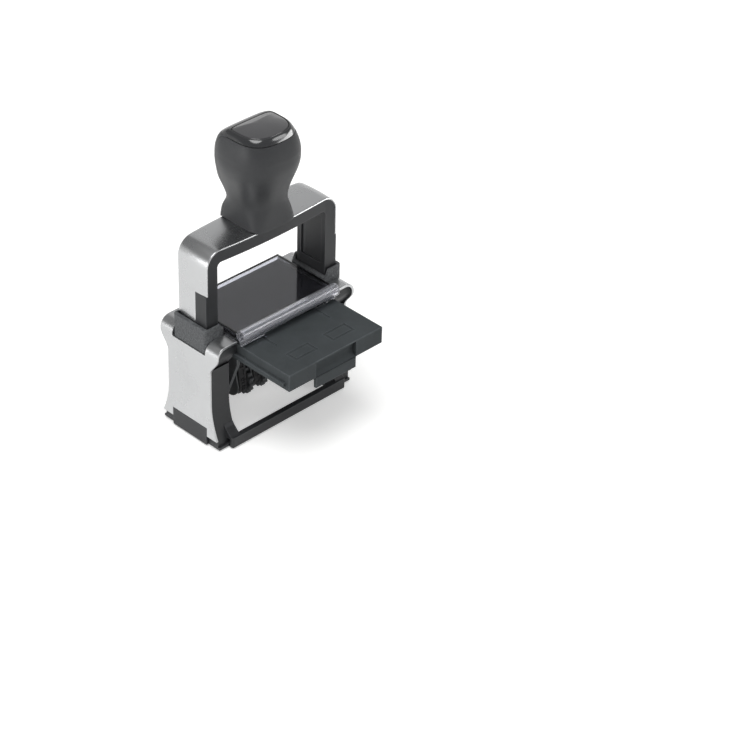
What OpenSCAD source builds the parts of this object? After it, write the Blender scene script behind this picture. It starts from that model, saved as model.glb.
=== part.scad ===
// Self-inking date stamp. A sprung bow with a knob presses a type block between two side frames.
// The block turns over on the way down, and the tray above it holds the ink pad.
// Millimetres, +Z up, the ink tray slides out towards -Y.
// Origin on the table, under the middle of the base.

/* [Press] */
// Travel of the bow from rest to the paper
stroke = 32.5; // [31.5:0.25:33.5]
// Height of the printing face over the table when pressed
die_land = 0.3; // [0.2:0.05:0.5]
// Room between the resting printing face and the tray
pad_gap = 1.2; // [1.1:0.05:1.8]
// Room left between the pressed bow and the index window
press_gap = 2.1; // [1:0.1:4]
// Gap beside a sliding piece
slide_gap = 0.4; // [0.3:0.05:0.5]
// Radial clearance of a pin in its hole
pin_gap = 0.05; // [0.02:0.01:0.1]
// Seam between two fixed pieces
seam = 0.1; // [0.05:0.05:0.2]

/* [Type block] */
// Width of the text plate
die_w = 49; // [46:0.5:51]
// Depth of the text plate
die_d = 27.5; // [25:0.5:28]
// Height of the printing face over the flip axis
die_h = 5.2; // [5:0.1:5.6]
// Thickness of the rubber die
die_t = 1.6; // [1.2:0.1:1.8]
// Height of the die's raised border
border_h = 0.5; // [0.3:0.1:0.8]
// Width of the die's raised border
border_w = 2.4; // [1.5:0.1:3]
// Thickness of the plate that carries the die
carrier_t = 1.2; // [1:0.1:1.4]
// Thickness of the block's end plates
plate_t = 2; // [1.5:0.1:3]
// Width of the end plates where they hold the wheels
plate_foot_d = 9.6; // [8:0.2:11]
// Radius of the pivot and flip pins
pin_r = 1.4; // [1.2:0.1:1.5]
// Distance from the flip axis to the flip pin
flip_r = 5; // [4.5:0.1:6]
// Depth of the cam groove in the side frame
cam_depth = 1.5; // [1:0.1:1.6]

/* [Date wheels] */
// Distance from one date wheel to the next
wheel_pitch = 9; // [8.8:0.1:9.5]
// Radius of the toothed thumb disc
disc_r = 8; // [7:0.1:8.2]
// Thickness of the thumb disc
disc_t = 2.4; // [2:0.1:2.6]
// Number of teeth on the thumb disc
tooth_count = 16; // [10:1:20]
// Depth of the teeth
tooth_h = 0.8; // [0.4:0.1:1.2]
// Radius of the drum under the band
drum_r = 5; // [4:0.1:5.4]
// Radius of the wheel axle
axle_r = 1.5; // [1.2:0.1:2]
// Distance from the flip axis down to the wheel axle
axle_drop = 20.5; // [18:0.5:20.5]
// Thickness of the rubber date bands
band_t = 1; // [0.8:0.1:1.2]
// Radius of the nose that the bands run over
nose_r = 2; // [1.6:0.1:2.2]
// Gap between the bands and what they run over
band_gap = 0.3; // [0.2:0.05:0.4]
// Thickness of the dividers between the wheels
divider_t = 0.8; // [0.6:0.1:1]
// Radius of the dividers round the wheel axle
divider_r = 6; // [3:0.1:6.4]
// Thickness of the detent leaf
leaf_t = 0.4; // [0.3:0.1:0.6]

/* [Ink tray] */
// Width of the ink tray
tray_w = 58; // [56:0.5:62]
// Depth of the ink tray
tray_d = 40; // [38:0.5:40]
// Height of the ink tray
tray_h = 8.6; // [8:0.1:10]
// Distance that the tray is drawn out at rest
tray_out = 32; // [26:0.5:32]
// Overhang of the tray's front over the middle when pushed in
tray_front = 19.5; // [19.5:0.1:21]
// Width of the tray's side rails
rail_w = 1.4; // [1:0.1:1.6]
// Height of the tray's side rails
rail_h = 2; // [1.5:0.1:2.2]
// Height of the rails over the tray's underside
rail_up = 2; // [1.6:0.1:2.2]
// Distance from the tray's ends to the ends of the rails
rail_inset = 2.5; // [2:0.1:4]
// Width of the finger tab
tab_w = 25; // [18:1:30]
// Drop of the finger tab under the tray
tab_drop = 5.8; // [4:0.2:7]
// Thickness of the finger tab
tab_t = 1.6; // [1.2:0.1:2]
// Thickness of the felt pad
pad_t = 5; // [4:0.1:5.5]
// Width of the felt pad
pad_w = 53; // [50:0.5:54]
// Depth of the felt pad
pad_d = 30; // [28:0.5:34]
// Radius of the finger scoop in the tray's front
scoop_r = 4.5; // [4:0.1:5]
// Depth of the finger scoop
scoop_in = 2.5; // [1.5:0.1:2.8]
// Width of the two plain frames marked on the tray's top
mark_w = 13.5; // [8:0.5:20]
// Depth of the marked frames
mark_d = 7; // [5:0.5:12]
// Line width of the marked frames
mark_line = 1.2; // [0.6:0.1:2]
// Line depth of the marked frames
mark_h = 0.4; // [0.2:0.05:0.6]
// Distance from the middle to a marked frame's middle
mark_x = 11.5; // [10:0.5:16]
// Distance from the tray's front edge to a marked frame's middle
mark_y = 10.4; // [7:0.2:14]
// Distance from the middle to the two short grooves behind the frames
groove_line_x = 16; // [14:0.5:20]
// Distance from the tray's front edge to the short grooves
groove_line_y = 21.5; // [18:0.5:24]
// Length of the short grooves
groove_line_l = 12; // [6:0.5:14]

/* [Side frames] */
// Depth of the waist
waist_d = 28.4; // [27:0.2:30]
// Depth of the shoulders
shoulder_d = 38.4; // [36.8:0.2:40]
// Depth of the side at the foot
foot_d = 37; // [35:0.5:38]
// Height where the waist starts
waist_z0 = 24; // [20:0.5:28]
// Height where the waist ends
waist_z1 = 41; // [38:0.5:42]
// Height where the shoulder is widest
swell_z = 50.5; // [49:0.5:52]
// Wall behind the rail groove
groove_wall = 1.9; // [1.6:0.1:2.4]
// Step from the shoulder's inner face back to the waist's
waist_step = 1.2; // [1:0.1:1.4]
// Set-back of the frames behind the shell edges
frame_inset = 0.7; // [0.4:0.1:1]
// Height of the ledge under the shoulder's lobes
lobe_z = 42; // [41.5:0.25:43]
// Set-back of the lobes behind the ledge
lobe_inset = 1; // [0.5:0.1:1.5]

/* [Side shells] */
// Thickness of the shell sheet
sheet_t = 1.3; // [1:0.1:1.5]
// Height of the shell's lower edge
shell_z0 = 5.5; // [4:0.25:7]
// Radius of the bend over the shoulder
bend_r = 5.5; // [4:0.25:7]
// Room between the bow's leg and the shell
shell_gap = 1.5; // [1.2:0.1:2]

/* [Base] */
// Set-back of the base bars' ends behind the shells
bar_inset = 6.9; // [5.5:0.1:8]
// Depth of the base
base_d = 43.6; // [42.5:0.1:48]
// Width of each base bar
bar_d = 2.8; // [2.6:0.1:4.4]
// Height of the base bars' top
bar_z = 6; // [5.6:0.1:8]
// Corner radius of the base bars
base_r = 1.2; // [0.8:0.1:1.3]
// Height of the gussets that run from the bars up the side frames
gusset_z = 14; // [11:0.5:18]
// Top of the plates under the side frames
plate_z = 2; // [1.8:0.05:2]
// Width of the print window
window_w = 58; // [56:0.5:59]
// Depth of the side tabs
side_tab_d = 23; // [18:0.5:26]
// Height of the side tabs
side_tab_z = 10; // [8:0.25:12]
// Thickness of the rubber ring under the base
foot_h = 0.8; // [0.6:0.05:1]
// Set-back of the rubber ring behind the base's edges
foot_inset = 0.7; // [0.4:0.1:1.2]
// Radius of the base screws
screw_r = 1.2; // [1:0.1:1.5]
// Radius of the base screw heads
screw_head_r = 2.2; // [2:0.1:2.6]
// Length of the base screws
screw_l = 9; // [7:0.25:9.5]

/* [Leg guides] */
// Height of the guides under the shoulder top
guide_down = 6; // [5:0.25:6]
// Height of the guides over the shoulder top
guide_up = 6.2; // [4:0.2:7]
// Front and back wall of the guides
guide_wall_y = 0.9; // [0.8:0.1:1.5]
// Inner wall of the guides
guide_wall_in = 2.3; // [2:0.1:2.5]
// Outer wall of the guides
guide_wall_out = 1.8; // [1.4:0.1:2]

/* [Deck and window] */
// Thickness of the deck
deck_t = 2.9; // [2.6:0.1:3.4]
// Distance from the middle to the deck's front edge
deck_front = 17; // [15:0.25:17]
// Distance from the middle to the deck's back edge
deck_back = 18.5; // [16:0.25:18.5]
// Thickness of the deck's side ears
ear_t = 1.4; // [1:0.1:1.4]
// Length of the deck's side ears
ear_l = 5; // [3:0.25:5.5]
// Thickness of the index card
card_t = 0.4; // [0.3:0.05:0.6]
// Height of the window over the deck
window_h = 3.1; // [2.4:0.1:4]
// Thickness of the clear window
clear_t = 1.2; // [0.8:0.1:1.4]
// Width of the window
cover_w = 58.8; // [56:0.2:59.6]
// Radius of the clear roll at the front
roll_r = 3.1; // [2.6:0.1:3.2]
// Height of the roll's top over the window
roll_up = 2; // [1.6:0.1:2.6]
// Distance from the middle to the roll's axis
roll_y = 20.3; // [20.3:0.1:21]
// Width of the gap in the clear skirt
skirt_gap_w = 36; // [20:1:44]

/* [Bow] */
// Depth of the bow's legs
leg_d = 19.4; // [18:0.2:20]
// Thickness of the inner yoke
yoke_t = 5.8; // [5.6:0.1:6.4]
// Thickness of the outer strip
strip_t = 1.2; // [1:0.1:1.5]
// Outer corner radius of the bow
bow_r = 8.5; // [7:0.25:12]
// Inner corner radius of the bow
bow_inner_r = 2.5; // [1.5:0.25:5]
// Swelling of the bow's edges at the middle
bow_bulge = 1.5; // [0:0.1:2]
// Set-back of the yoke behind the strip's edges
yoke_inset = 0.4; // [0.2:0.1:0.8]
// Distance from the flip axis to the legs' lower ends
leg_tail = 3; // [2.6:0.1:3.2]
// Lower end of the strip over the legs' lower ends
strip_up = 5; // [3:0.5:10]
// Height of the cut-away at the strip's lower front corners
notch_z = 79; // [74:0.5:86]
// Distance from the middle to the cut-away
notch_y = 2.1; // [0:0.1:4]
// Depth of the panel in the legs' inner faces
panel_t = 0.6; // [0.3:0.05:0.7]
// Width of the panel in the legs' inner faces
panel_d = 13; // [10:0.5:15]

/* [Springs] */
// Mean radius of the return springs
coil_r = 1.5; // [1.4:0.05:1.6]
// Radius of the spring wire
wire_r = 0.25; // [0.2:0.01:0.28]
// Number of turns
coil_turns = 24; // [16:1:30]
// Clearance of the spring in its bore
coil_gap = 0.3; // [0.2:0.05:0.35]
// Radius of the rods in the springs
rod_r = 0.8; // [0.6:0.05:0.9]
// Length of the rods
rod_l = 44; // [30:1:50]
// Distance from the middle to the spring axis
spring_y = 5; // [4.8:0.1:6]
// Height of the spring bore's end over the legs' lower ends
spring_bore = 53; // [48:0.5:56]

/* [Knob] */
// Height of the knob over the bow
knob_h = 47.5; // [46.5:0.1:52]
// Greatest width of the knob
knob_w = 34; // [32:0.2:40]
// Greatest depth of the knob to the front
knob_front = 17.2; // [16:0.2:20]
// Greatest depth of the knob to the back
knob_back = 20.5; // [19:0.1:23]
// Fall of the knob's back towards the top
knob_lean = 3.8; // [0:0.1:5]
// Width of the neck
neck_w = 24; // [21:0.2:27]
// Depth of the neck to the front
neck_front = 11.7; // [11.6:0.1:14]
// Depth of the neck to the back
neck_back = 13.4; // [12.4:0.1:14]
// Height of the neck over the bow
neck_z = 10.6; // [9:0.1:15]
// Depth of the heel to the back
heel_back = 14.3; // [14:0.1:16]
// Height of the heel over the bow
heel_z = 3.5; // [2:0.25:5]
// Height over the bow of the hollow over the heel
nape_z = 8; // [7:0.25:9]
// Height over the bow where the back is full
back_z = 20; // [18:0.5:26]
// Height over the bow where the knob is full
belly_z = 32.5; // [28:0.25:34]
// Height over the bow where the knob starts to close
dome_z = 35; // [34:0.2:38]
// Width of the top inside its rounded edge
crest_w = 25.2; // [20:0.2:28]
// Depth of the top to the front
crest_front = 12.6; // [9:0.1:14]
// Depth of the top to the back
crest_back = 6; // [5:0.1:9]
// Squareness of the knob's skirt in plan
skirt_square = 6; // [4:0.1:8]
// Squareness of the knob's belly in plan
belly_square = 2.8; // [2:0.1:3.2]
// Squareness of the top's front in plan
brow_square = 2.7; // [2:0.1:4]
// Squareness of the top's back in plan
crest_square = 6.5; // [4:0.1:8]
// Squareness of the closing curve, seen from the side
dome_square = 1.5; // [1.4:0.1:2.4]
// Drop of the knob's skirt over the bow's edges
skirt_drop = 0.8; // [0.5:0.1:3]
// Flare of the knob's skirt
skirt_flare = 0.8; // [0.3:0.1:1.5]
// Rise of the cap over its edge
cap_rise = 1; // [0.5:0.1:2]
// Set-back of the cap inside the top's edge
cap_inset = 0.5; // [0.3:0.1:1]
// Thickness of the cap at its edge
cap_t = 0.8; // [0.6:0.1:0.9]
// Drop of the front shell's upper edge under the edge of the knob's top
front_drop = 2.9; // [2.5:0.1:5.5]
// Distance from the middle back to the knob's side seam
seam_y = 10.6; // [8:0.2:11.4]
// Corner radius of the seam between the knob's shells
seam_r = 6; // [4:0.5:9]
// Radius of the knob screw
knob_screw_r = 1.8; // [1.5:0.1:2.2]
// Radius of the knob screw's head
knob_head_r = 3.2; // [2.8:0.1:4]
// Depth of the knob screw's head
knob_head_t = 2.2; // [1.5:0.1:2.6]
// Length of the knob screw inside the knob
knob_screw_l = 20; // [12:0.5:28]
// Radius of the studs that hold the strip
stud_r = 1.2; // [1:0.1:1.6]
// Distance from the middle to the studs
stud_x = 24; // [20:0.5:27]

/* [Hidden] */
$fn = 48;
far = 200;
cut = 1;

// Heights, from the table up
flip_z = die_land + stroke + die_h;
die_z = flip_z + die_h;
tray_z0 = die_z + pad_gap;
tray_z1 = tray_z0 + tray_h;
deck_z0 = tray_z1 + slide_gap;
deck_z1 = deck_z0 + deck_t;
shoulder_z = deck_z1;
frame_z = shoulder_z - sheet_t;
guide_z0 = shoulder_z - guide_down;
guide_z1 = shoulder_z + guide_up;
cover_z = deck_z1 + window_h;
bow_z0 = cover_z + press_gap + stroke;
bow_z1 = bow_z0 + yoke_t + strip_t;
leg_z = flip_z - leg_tail;
carrier_z1 = die_z - die_t;
carrier_z0 = carrier_z1 - carrier_t;
axle_z = flip_z - axle_drop;
rail_z0 = tray_z0 + rail_up;
panel_z0 = guide_z1 + press_gap;

// Widths, from the middle out
tray_x = tray_w / 2;
rail_x = tray_x + rail_w;
shoulder_x = tray_x + slide_gap;
waist_x = shoulder_x + waist_step;
groove_x = rail_x + slide_gap;
cavity_x = groove_x + groove_wall;
leg_x0 = cavity_x + slide_gap;
leg_x1 = leg_x0 + yoke_t + strip_t;
shell_x0 = leg_x1 + shell_gap;
shell_x1 = shell_x0 + sheet_t;
guide_x0 = cavity_x - guide_wall_in;
guide_x1 = leg_x1 + slide_gap + guide_wall_out;
deck_x = guide_x0 - seam;
cover_x = cover_w / 2;
plate_x1 = die_w / 2;
plate_x0 = plate_x1 - plate_t;
spring_x = leg_x0 + panel_t + (yoke_t - panel_t) / 2;
side_tab_x0 = leg_x1 + slide_gap + seam;

// Depths
leg_y = leg_d / 2;
cavity_y = leg_y + slide_gap;
guide_y = cavity_y + guide_wall_y;
tray_y0 = -tray_front - tray_out;
tray_y1 = tray_y0 + tray_d;
pad_y = -tray_out;
ear_y = guide_y + seam;
groove_y = tray_d - tray_front - rail_inset + slide_gap;
screw_y = (cavity_y + foot_d / 2 - frame_inset) / 2;
screw_x = (cavity_x + shell_x0) / 2;
head_z = (foot_h + plate_z) / 2;
base_x = shell_x1 - bar_inset;

function ease(t) = t * t * (3 - 2 * t);
function mix(a, b, t) = a + (b - a) * t;
function arc(cx, cy, r, a0, a1, n) =
    [for (i = [0:n]) let(a = mix(a0, a1, i / n)) [cx + r * cos(a), cy + r * sin(a)]];
function clamp(t) = max(0, min(1, t));
function reverse(list) = [for (i = [len(list) - 1:-1:0]) list[i]];

// Half depth of the hourglass side at height z
function half_depth(z) =
    z < waist_z0 ? mix(waist_d, foot_d, pow(min(1, (waist_z0 - z) / (waist_z0 - shell_z0)), 2)) / 2 :
    z < waist_z1 ? waist_d / 2 :
    mix(waist_d, shoulder_d, ease(min(1, (z - waist_z1) / (swell_z - waist_z1)))) / 2;

// Flip angle and cam path of the flip pin, in the YZ plane, for a share t of the stroke
function cam_point(t) = [flip_r * cos(180 * t), flip_z - stroke * t + flip_r * sin(180 * t)];
function cam_normal(t) =
    let(d = cam_point(t + 0.001) - cam_point(t - 0.001)) [-d[1], d[0]] / norm(d);

// Extrude a shape drawn in Y and Z along X
module along_x(x0, x1) {
    translate([x0, 0, 0]) rotate([90, 0, 90]) linear_extrude(x1 - x0) children();
}

// Extrude a shape drawn in X and Z along Y
module along_y(y0, y1) {
    translate([0, y1, 0]) rotate([90, 0, 0]) linear_extrude(y1 - y0) children();
}

// Box from corner to corner
module box(x0, x1, y0, y1, z0, z1) {
    translate([x0, y0, z0]) cube([x1 - x0, y1 - y0, z1 - z0]);
}

// The children on the right, and their mirror image on the left
module both_sides() {
    children();
    mirror([1, 0, 0]) children();
}

// The children at the back, and their mirror image at the front
module both_ends() {
    children();
    mirror([0, 1, 0]) children();
}

// Round pin along X
module pin_x(x0, x1, y, z, r) {
    translate([x0, y, z]) rotate([0, 90, 0]) cylinder(r = r, h = x1 - x0);
}

// Round pin along Z
module pin_z(x, y, z0, z1, r) {
    translate([x, y, z0]) cylinder(r = r, h = z1 - z0);
}

// Closed skin through a list of rings of points
module skin(rings) {
    n = len(rings[0]);
    last = (len(rings) - 1) * n;
    points = [for (ring = rings) each ring];
    walls = [for (i = [0:len(rings) - 2], j = [0:n - 1])
        let(a = i * n + j, b = i * n + (j + 1) % n) each [[a, a + n, b], [b, a + n, b + n]]];
    floors = [for (j = [1:n - 2]) [0, j, j + 1]];
    roofs = [for (j = [1:n - 2]) [last, last + j + 1, last + j]];
    polyhedron(points, concat(walls, floors, roofs));
}

// Hourglass outline of a side, in Y and Z
module side_outline(z0, z1, inset) {
    heights = concat(
        [z0],
        [for (i = [0:6]) mix(shell_z0, waist_z0, i / 6)],
        [for (i = [0:8]) mix(waist_z1, swell_z, i / 8)],
        [z1]);
    edge = [for (z = heights) if (z >= z0 && z <= z1) [half_depth(z) - inset, z]];
    polygon(concat(edge, [for (p = reverse(edge)) [-p[0], p[1]]]));
}

// Outline in X and Z of what lies inside a bend over the shoulder
module bend_outline(x0, x1, z0, z1, r) {
    polygon(concat([[x0, z0], [x1, z0]], arc(x1 - r, z1 - r, r, 0, 90, 8), [[x0, z1]]));
}

// Stadium slot in Y and Z along the flip axis's travel
module travel_slot(r) {
    translate([0, flip_z]) circle(r);
    translate([0, flip_z - stroke]) circle(r);
    translate([-r, flip_z - stroke]) square([2 * r, stroke]);
}

// Cam groove outline in Y and Z
module cam_slot(r) {
    steps = [for (i = [0:20]) i / 20];
    polygon(concat(
        [for (t = steps) cam_point(t) + r * cam_normal(t)],
        [for (t = reverse(steps)) cam_point(t) - r * cam_normal(t)]));
    translate(cam_point(0)) circle(r);
    translate(cam_point(1)) circle(r);
}

// Base with two bars, plates under the sides and outer tabs
module base_frame() {
    color("#3a3c3e") difference() {
        union() {
            both_ends()
                translate([0, (base_d - bar_d) / 2, foot_h]) linear_extrude(bar_z - foot_h) bar_outline();
            both_sides() {
                box(window_w / 2, shell_x0, bar_d - base_d / 2, base_d / 2 - bar_d, foot_h, plate_z);
                box(side_tab_x0, shell_x1, -side_tab_d / 2, side_tab_d / 2, foot_h, side_tab_z);
                both_ends() along_x(waist_x, base_x) gusset_outline();
            }
        }
        both_sides() both_ends() {
            pin_z(screw_x, screw_y, 0, plate_z + cut, screw_r + pin_gap);
            pin_z(screw_x, screw_y, 0, head_z, screw_head_r + pin_gap);
        }
    }
}

// Plan of one base bar, with rounded corners
module bar_outline() {
    x = base_x - base_r;
    y = bar_d / 2 - base_r;
    polygon(concat(arc(x, y, base_r, 0, 90, 6), arc(-x, y, base_r, 90, 180, 6),
        arc(-x, -y, base_r, 180, 270, 6), arc(x, -y, base_r, 270, 360, 6)));
}

// Gusset in Y and Z that sweeps from a bar's top up to the side frame's edge
module gusset_outline() {
    low_y = base_d / 2 - base_r;
    high_y = half_depth(gusset_z) - frame_inset;
    edge = [for (i = [0:8]) [mix(low_y, high_y, sin(90 * i / 8)), mix(bar_z, gusset_z, i / 8)]];
    difference() {
        polygon(concat([[high_y, bar_z - cut], [low_y, bar_z - cut]], edge));
        side_outline(bar_z - 2 * cut, gusset_z + cut, frame_inset - seam);
    }
}

// Rubber ring under the base, round the print window
module base_pad() {
    x = base_x - foot_inset;
    y = base_d / 2 - foot_inset;
    inner_x = window_w / 2 + foot_inset;
    inner_y = base_d / 2 - bar_d + foot_inset;
    color("#202224") difference() {
        box(-x, x, -y, y, 0, foot_h);
        box(-inner_x, inner_x, -inner_y, inner_y, -cut, foot_h + cut);
        both_sides() both_ends() pin_z(screw_x, screw_y, -cut, foot_h + cut, screw_head_r + pin_gap);
    }
}

// Screws from below into the posts of the side frames
module base_screws() {
    color("#8c8f92") both_sides() both_ends() {
        pin_z(screw_x, screw_y, foot_h + seam, head_z, screw_head_r);
        pin_z(screw_x, screw_y, foot_h + seam, foot_h + screw_l, screw_r);
    }
}

// Moulded side frame with leg channel, pivot slot, cam groove and rail groove
module right_side_frame() {
    slot_r = pin_r + slide_gap;
    color("#35373a") difference() {
        intersection() {
            along_x(shoulder_x, shell_x0) {
                side_outline(plate_z, lobe_z, frame_inset);
                side_outline(lobe_z - cut, frame_z, frame_inset + lobe_inset);
            }
            along_y(-far, far) side_frame_section();
        }
        box(cavity_x, shell_x0 + cut, -cavity_y, cavity_y, 0, far);
        box(guide_x0, shell_x0 + cut, -guide_y, guide_y, guide_z0, far);
        box(0, deck_x + seam, -far, far, deck_z0, far);
        both_ends() box(0, cavity_x + seam, ear_y, ear_y + ear_l + 2 * seam, deck_z0, far);
        box(0, groove_x, -far, groove_y, rail_z0 - slide_gap, rail_z0 + rail_h + slide_gap);
        along_x(0, cavity_x + cut) travel_slot(slot_r);
        along_x(0, waist_x + cam_depth) cam_slot(slot_r);
        box(side_tab_x0 - seam, far, -side_tab_d / 2 - seam, side_tab_d / 2 + seam, 0, side_tab_z + seam);
        both_ends() pin_z(screw_x, screw_y, 0, foot_h + screw_l + seam, screw_r + pin_gap);
    }
}

// Section of the side frame in X and Z, inside the bend of the shell
module side_frame_section() {
    r = bend_r - sheet_t;
    ledge_z = tray_z0 - waist_step;
    polygon(concat([[waist_x, 0], [shell_x0, 0]],
        arc(shell_x0 - r, frame_z - r, r, 0, 90, 8),
        [[shoulder_x, frame_z], [shoulder_x, ledge_z], [waist_x, ledge_z - waist_step]]));
}

module left_side_frame() {
    mirror([1, 0, 0]) right_side_frame();
}

// Sheet shell, bent inwards over the shoulder and notched for the guide and the base tab
module right_side_shell() {
    color("#c4c6c8") difference() {
        intersection() {
            along_x(guide_x0, shell_x1) side_outline(shell_z0, shoulder_z, 0);
            along_y(-far, far) difference() {
                bend_outline(guide_x0, shell_x1, 0, shoulder_z, bend_r);
                bend_outline(0, shell_x0, -cut, frame_z, bend_r - sheet_t);
            }
        }
        box(0, far, -guide_y - seam, guide_y + seam, guide_z0 - seam, far);
        box(0, far, -side_tab_d / 2 - seam, side_tab_d / 2 + seam, 0, side_tab_z + seam);
    }
}

module left_side_shell() {
    mirror([1, 0, 0]) right_side_shell();
}

// Collar that guides a leg of the bow
module right_leg_guide() {
    color("#46484a") difference() {
        box(guide_x0, guide_x1, -guide_y, guide_y, guide_z0, guide_z1);
        box(cavity_x, leg_x1 + slide_gap, -cavity_y, cavity_y, 0, far);
        box(0, cavity_x + cut, -far, far, cover_z, far);
    }
}

module left_leg_guide() {
    mirror([1, 0, 0]) right_leg_guide();
}

// Deck between the shoulders, with ears under the shells
module top_deck() {
    color("#2f3133") {
        box(-deck_x, deck_x, -deck_front, deck_back, deck_z0, deck_z1);
        both_sides() both_ends()
            box(deck_x - cut, cavity_x, ear_y + seam, ear_y + seam + ear_l, deck_z0, deck_z0 + ear_t);
    }
}

// Card under the window
module index_card() {
    x = cover_x - clear_t - slide_gap;
    y1 = deck_back - clear_t - slide_gap;
    color("#45454a") box(-x, x, clear_t - deck_front, y1, deck_z1, deck_z1 + card_t);
}

// Clear window with a rolled front lip and a skirt with a gap
module index_window() {
    roll_z = cover_z + roll_up - roll_r;
    skirt_z = deck_z0 + slide_gap / 2;
    gap_x = skirt_gap_w / 2;
    gap_z = roll_z - roll_r;
    color("#9aa0a6", 0.5) difference() {
        union() {
            box(-cover_x, cover_x, -roll_y, deck_back, cover_z - clear_t, cover_z);
            box(-cover_x, cover_x, deck_back - clear_t, deck_back, deck_z1, cover_z);
            both_sides() box(cover_x - clear_t, cover_x, -deck_front, deck_back, deck_z1, cover_z);
            pin_x(-cover_x, cover_x, -roll_y, roll_z, roll_r);
            box(-cover_x, cover_x, -roll_y - clear_t / 2, -roll_y + clear_t / 2, skirt_z, roll_z);
        }
        pin_x(-far, far, -roll_y, roll_z, roll_r - clear_t);
        along_y(-far, -deck_front - cut)
            polygon([[-gap_x, 0], [gap_x, 0], [gap_x - roll_r, gap_z], [roll_r - gap_x, gap_z]]);
    }
}

// Path round a bow: up one leg, over the top and down the other, in X and Z
function bow_path(x, z0, z1, r) =
    concat([[x, z0]], arc(x - r, z1 - r, r, 0, 90, 8), arc(r - x, z1 - r, r, 90, 180, 8), [[-x, z0]]);

// Plan of the bow, swelling towards the middle
module bow_plan(inset) {
    steps = [for (i = [-8:8]) i / 8];
    edge = concat([[-leg_x1 - cut, leg_y - inset]],
        [for (t = steps) [t * leg_x0, leg_y + bow_bulge * (1 - t * t) - inset]],
        [[leg_x1 + cut, leg_y - inset]]);
    polygon(concat(edge, [for (p = reverse(edge)) [p[0], -p[1]]]));
}

// Sheet strip over the outside of the bow
module bow_strip() {
    z0 = leg_z + strip_up;
    r = bow_r - strip_t;
    color("#c9cbcd") difference() {
        intersection() {
            along_y(-far, far) polygon(concat(bow_path(leg_x1, z0, bow_z1, bow_r),
                reverse(bow_path(leg_x1 - strip_t, z0, bow_z1 - strip_t, r))));
            linear_extrude(far) bow_plan(0);
        }
        both_sides() box(leg_x0, far, -far, -notch_y, 0, notch_z);
        pin_z(0, 0, bow_z0, far, knob_screw_r + pin_gap);
    }
}

// Moulded yoke inside the strip, with bores for springs, pins, studs and the knob screw
module bow_yoke() {
    yoke_x1 = leg_x1 - strip_t;
    outer = bow_path(yoke_x1, leg_z, bow_z1 - strip_t, bow_r - strip_t);
    inner = bow_path(leg_x0, leg_z, bow_z0, bow_inner_r);
    color("#2c2e30") difference() {
        union() {
            intersection() {
                along_y(-far, far) polygon(concat(outer, reverse(inner)));
                linear_extrude(far) bow_plan(yoke_inset);
            }
            both_sides()
                box(leg_x1 - yoke_t, leg_x1, yoke_inset - leg_y, -notch_y - seam, leg_z, notch_z - seam);
        }
        both_sides() {
            pin_z(spring_x, spring_y, 0, leg_z + spring_bore, coil_r + wire_r + coil_gap);
            pin_x(cut, yoke_x1, 0, flip_z, pin_r + pin_gap);
            pin_z(stud_x, 0, 0, far, stud_r + pin_gap);
            box(cut, leg_x0 + panel_t, -panel_d / 2, panel_d / 2,
                panel_z0, bow_z0 - bow_inner_r - press_gap);
        }
        pin_z(0, 0, 0, far, knob_screw_r + pin_gap);
        pin_z(0, 0, 0, bow_z0 + knob_head_t + pin_gap, knob_head_r + pin_gap);
    }
}

// Studs that hold the strip on the yoke
module strip_studs() {
    color("#9a9c9e") both_sides() pin_z(stud_x, 0, bow_z0, bow_z1 - strip_t, stud_r);
}

// Screw up through the bow into the knob
module knob_screw() {
    color("#8c8f92") {
        pin_z(0, 0, bow_z0, bow_z0 + knob_head_t, knob_head_r);
        pin_z(0, 0, bow_z0, bow_z1 + knob_screw_l, knob_screw_r);
    }
}

// Heights over the bow of the knob's top edge, under the cap's rise, and of the front shell's upper edge
crest_z = knob_h - cap_rise;
front_h = crest_z - front_drop;

// Half width, front and back depth, front and back squareness of the knob at a height over the bow
function knob_size(z) = let(
    low = clamp(z / neck_z),
    flare = skirt_flare * pow(1 - low, 2),
    swell = ease(clamp((z - neck_z) / (belly_z - neck_z))),
    heel = (heel_back - neck_back) * (1 - ease(clamp((z - heel_z) / (nape_z - heel_z)))),
    back_swell = ease(clamp((z - nape_z) / (back_z - nape_z))),
    lean = knob_lean * clamp((z - neck_z) / (crest_z - neck_z)),
    t = clamp((z - dome_z) / (crest_z - dome_z)),
    close = 1 - pow(1 - pow(t, dome_square), 1 / dome_square),
    square = mix(skirt_square, belly_square, ease(low)))
    [mix(mix(neck_w, knob_w, swell), crest_w, close) / 2 + flare,
        mix(mix(neck_front, knob_front, swell), crest_front, close) + flare,
        mix(mix(neck_back, knob_back, back_swell) + heel - lean, crest_back, close),
        mix(square, brow_square, t * t),
        mix(square, crest_square, t * t)];

// Plan of a knob section: quarter superellipses of unequal depth to the front and the back
function knob_plan(s, share) = [for (i = [0:39]) let(
    c = cos(9 * i),
    d = sin(9 * i),
    q = 2 / (d < 0 ? s[3] : s[4]),
    y = d < 0 ? s[1] : s[2])
    share * [s[0] * sign(c) * pow(abs(c), q), y * sign(d) * pow(abs(d), q)]];

// One ring of the knob at a height over the bow, drawn in to a share of its section
function knob_ring(z, share = 1, rise = 0) =
    [for (p = knob_plan(knob_size(z), share)) [p[0], p[1], bow_z1 + z + rise]];

// Whole knob with its skirt, its closing curve and its slightly raised top
module knob_form() {
    skin(concat(
        [for (i = [0:20]) knob_ring(mix(-skirt_drop, dome_z, i / 20))],
        [for (i = [1:9]) knob_ring(mix(dome_z, crest_z, pow(sin(10 * i), 2 / dome_square)))],
        [for (share = [0.75, 0.5, 0.25]) knob_ring(crest_z, share, cap_rise * (1 - share * share))]));
}

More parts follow.
